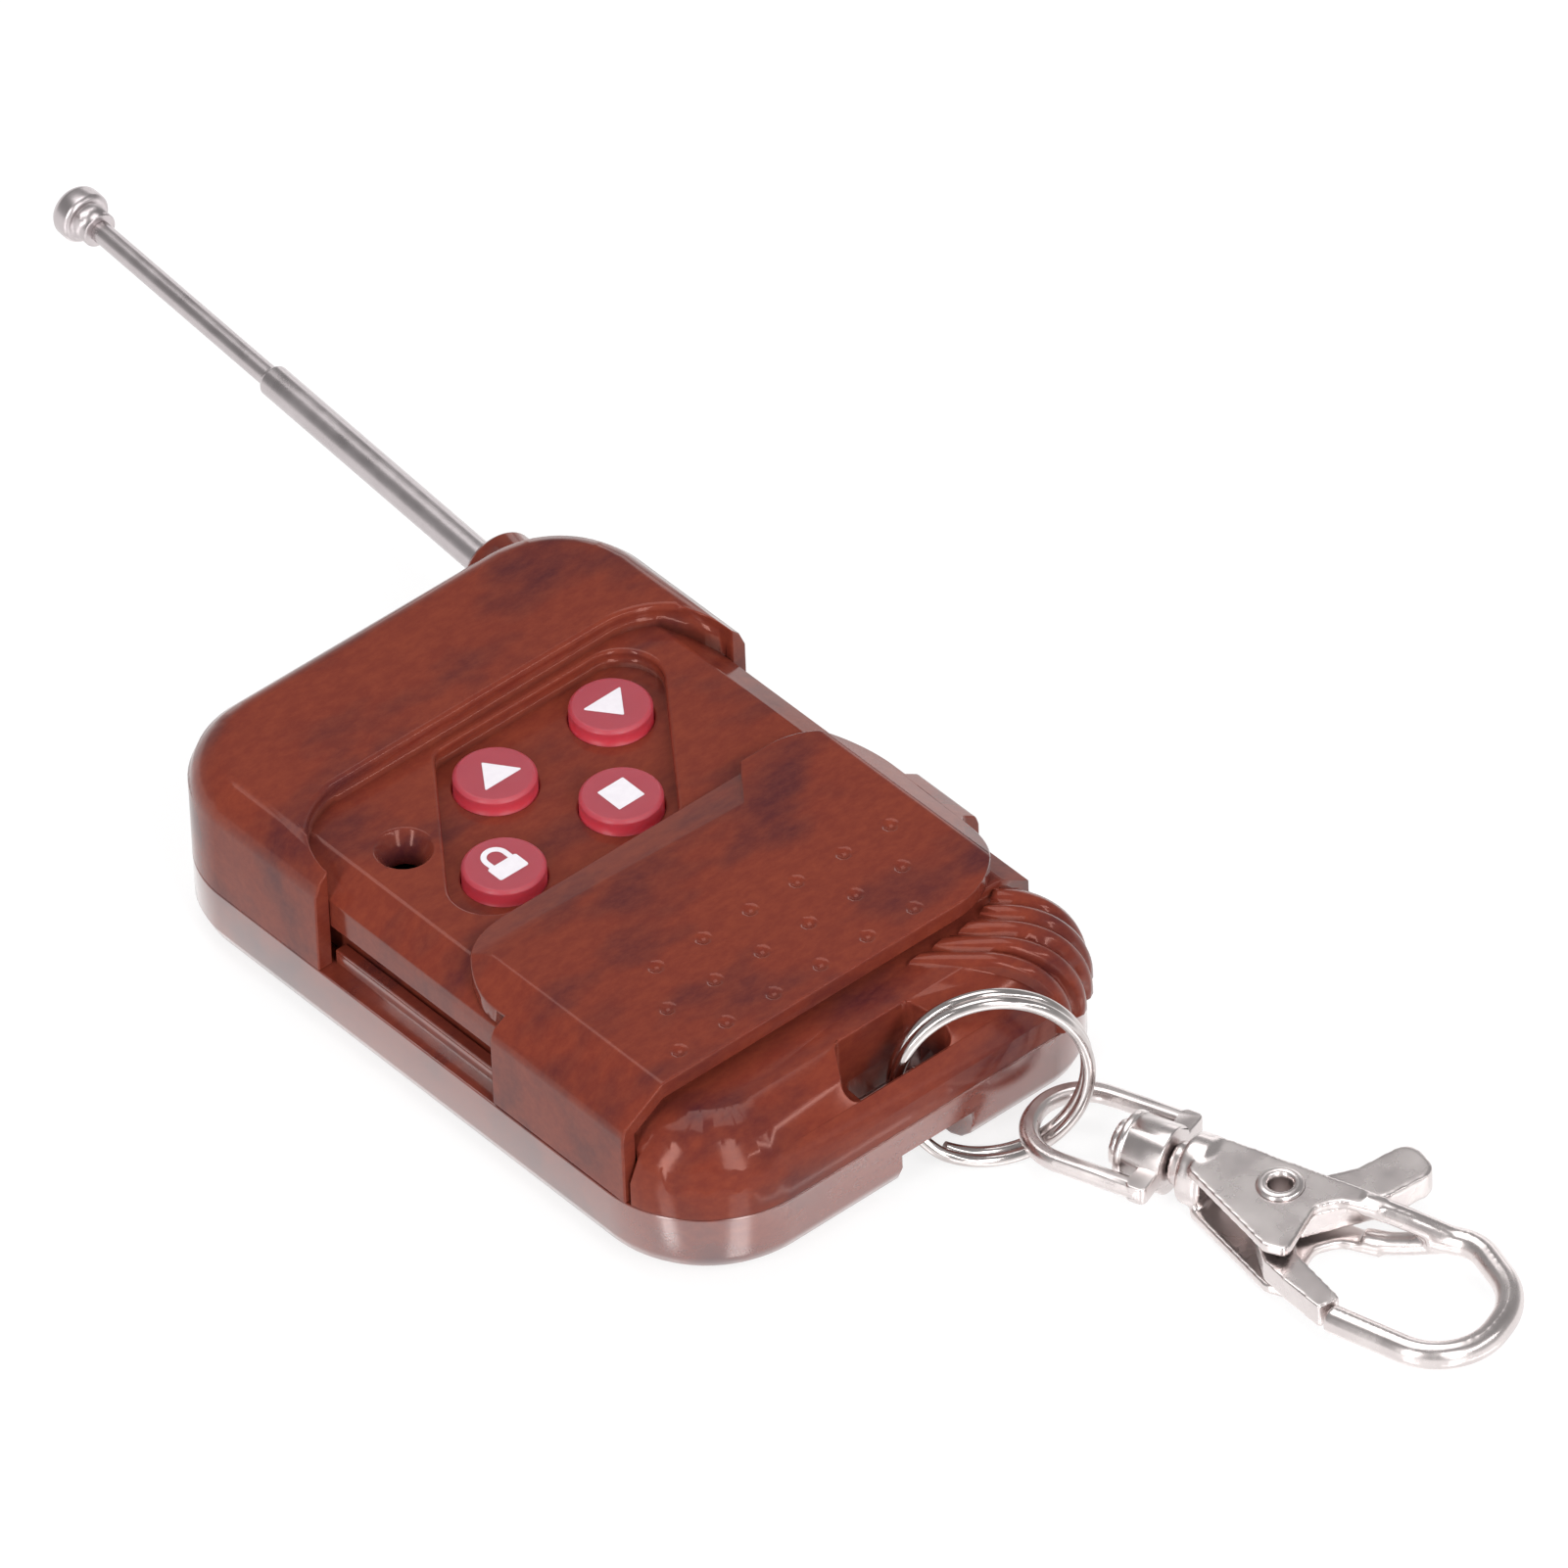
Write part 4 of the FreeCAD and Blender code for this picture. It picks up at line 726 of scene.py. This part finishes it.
def screw_tree(name, skin):
    """A round head on a shank, cut by two crossed slots, put at every point of the seed."""
    tree, out = node_group(name, [(label, "NodeSocketFloat") for label in SCREW_SIZES])

    def raised(shape, height):
        rise = add(tree, "ShaderNodeCombineXYZ", {"Z": height}).outputs[0]
        return add(tree, "GeometryNodeTransform", {"Geometry": shape, "Translation": rise}).outputs[0]

    def column(radius, depth):
        body = add(tree, "GeometryNodeMeshCylinder",
                   {"Vertices": SCREW_SIDES, "Radius": out[radius], "Depth": out[depth]})
        return raised(body.outputs["Mesh"], calculated(tree, "MULTIPLY", out[depth], 0.5))

    cut = add(tree, "GeometryNodeMeshBoolean", {"Mesh 1": column("Head radius", "Head height")},
              operation="DIFFERENCE", solver="EXACT")
    for wide, deep in (("Slot length", "Slot width"), ("Slot width", "Slot length")):
        double = calculated(tree, "MULTIPLY", out["Slot depth"], 2.0)
        size = add(tree, "ShaderNodeCombineXYZ", {"X": out[wide], "Y": out[deep], "Z": double}).outputs[0]
        slot = add(tree, "GeometryNodeMeshCube", {"Size": size}).outputs["Mesh"]
        tree.links.new(slot, cut.inputs["Mesh 2"])
    shank = raised(column("Shank radius", "Shank length"), out["Head height"])
    screw = add(tree, "GeometryNodeJoinGeometry")
    for part in (cut.outputs[0], shank):
        tree.links.new(part, screw.inputs[0])
    spread = add(tree, "GeometryNodeInstanceOnPoints",
                 {"Points": out["Geometry"], "Instance": screw.outputs[0]})
    end_tree(tree, spread.outputs[0], skin)
    return tree


screws = baked("housing_screw_set", screw_tree("cross_head_screw", ZINC), SCREW_SIZES, "housing", ZINC,
               [mm(x, y, SCREW_FACE) for x, y in SCREW_SPOTS])
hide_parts("housing_screws")

# Inner pieces keep their CAD shape and take the finish of the real one
KEPT = {
    ZINC: ["battery_cell"],
    VINYL: ["battery_sleeve"],
    TINNED: ["battery_plate_negative", "battery_plate_positive", "switch_bases", "resonator", "aerial_clip"],
    SPRING_STEEL: ["battery_spring"],
    BOARD: ["circuit_board"],
    LAMP: ["status_lamp"],
    EPOXY: ["encoder_chip", "rf_transistor", "button_up_plunger", "button_down_plunger",
            "button_stop_plunger", "button_lock_plunger"],
    CERAMIC: ["chip_parts"],
    COPPER: ["loading_coil"],
    BRASS: ["aerial_base", "aerial_middle_shoe", "aerial_tip_shoe"],
}
for skin, nodes in KEPT.items():
    for node in nodes:
        coat_mesh(NODES[node].data, skin)

# Studio: a white table that fades into a pale room, strip and soft boxes round the camera and one behind
FLOOR_SIZE, FLOOR_DROP = 6000, 0.1
TABLE_GLOW, TABLE_POLISH = 0.78, 0.22
ROOM = [(0.0, 0.8), (0.10, 0.55), (0.40, 0.36), (1.0, 0.32)]
# Lamp: its angle from the camera, to the left where positive, its elevation, and in metres its distance,
# width and height, then its watts
LAMPS = {
    "left_strip": (36, 28, 0.9, 0.14, 0.70, 3.2),
    "right_strip": (-24, 32, 0.9, 0.20, 0.80, 3.6),
    "top_box": (160, 72, 0.9, 0.60, 0.60, 3.0),
    "side_strip": (-62, 36, 0.9, 0.70, 0.06, 1.4),
    "back_box": (198, 14, 1.2, 0.60, 0.30, 0.8),
}


def white_table():
    """Matt white paper. The camera, mirrors and glass see it as white; it still takes the object's shadow."""
    made, tree = material("white_paper")
    path = add(tree, "ShaderNodeLightPath").outputs
    seen = calculated(tree, "MAXIMUM", path["Is Camera Ray"], path["Is Glossy Ray"])
    seen = calculated(tree, "MAXIMUM", seen, path["Is Transmission Ray"])
    paper = add(tree, "ShaderNodeBsdfDiffuse", {"Color": colour("#C9C9C9")})
    lit = add(tree, "ShaderNodeBsdfDiffuse", {"Color": colour("#8F8F8F")})
    glow = add(tree, "ShaderNodeEmission", {"Color": (1, 1, 1, 1), "Strength": TABLE_GLOW})
    shown = add(tree, "ShaderNodeAddShader", {0: lit.outputs[0], 1: glow.outputs[0]}).outputs[0]
    polish = add(tree, "ShaderNodeBsdfGlossy", {"Color": (TABLE_POLISH,) * 3 + (1,), "Roughness": 0.03})
    shined = add(tree, "ShaderNodeAddShader", {0: shown, 1: polish.outputs[0]})
    sheet = add(tree, "ShaderNodeMixShader", {0: path["Is Glossy Ray"], 1: shown, 2: shined.outputs[0]})
    both = add(tree, "ShaderNodeMixShader", {0: seen, 1: paper.outputs[0], 2: sheet.outputs[0]})
    finish_surface(tree, both)
    return made


def make_floor():
    work = bmesh.new()
    bmesh.ops.create_grid(work, x_segments=1, y_segments=1, size=FLOOR_SIZE / 2 * MM)
    bmesh.ops.translate(work, verts=work.verts, vec=mm(0, 0, -FLOOR_DROP))
    mesh = new_mesh("white_table", work)
    coat_mesh(mesh, white_table())
    new_piece("white_table", mesh)


def make_lamp(name, offset, elevation, distance, width, height, watts):
    """A lamp turned to the object."""
    away = toward(CAMERA_AZIMUTH + offset, elevation)
    light = bpy.data.lights.new(name, "AREA")
    light.shape = "RECTANGLE"
    light.size = width
    light.size_y = height
    light.energy = watts
    lamp = new_piece(name, light)
    lamp.location = away * distance
    lamp.rotation_euler = away.to_track_quat("Z", "Y").to_euler()


def make_world():
    """A pale room: white near the horizon, greyer overhead."""
    world = bpy.data.worlds.new("studio")
    bpy.context.scene.world = world
    world.use_nodes = True
    tree = world.node_tree
    tree.nodes.clear()
    ways = add(tree, "ShaderNodeTexCoord").outputs["Generated"]
    height = add(tree, "ShaderNodeSeparateXYZ", {"Vector": ways}).outputs["Z"]
    room = add(tree, "ShaderNodeValToRGB", {"Fac": height}, stops=ROOM)
    seen = add(tree, "ShaderNodeLightPath").outputs["Is Camera Ray"]
    shown = add(tree, "ShaderNodeMix", {"Factor": seen, 6: room.outputs["Color"], 7: (1, 1, 1, 1)},
                data_type="RGBA")
    back = add(tree, "ShaderNodeBackground", {"Color": shown.outputs[2], "Strength": 1.0})
    add(tree, "ShaderNodeOutputWorld", {"Surface": back.outputs[0]})


make_floor()
make_world()
for name, sizes in LAMPS.items():
    make_lamp(name, *sizes)
bpy.context.scene.view_settings.view_transform = "Standard"
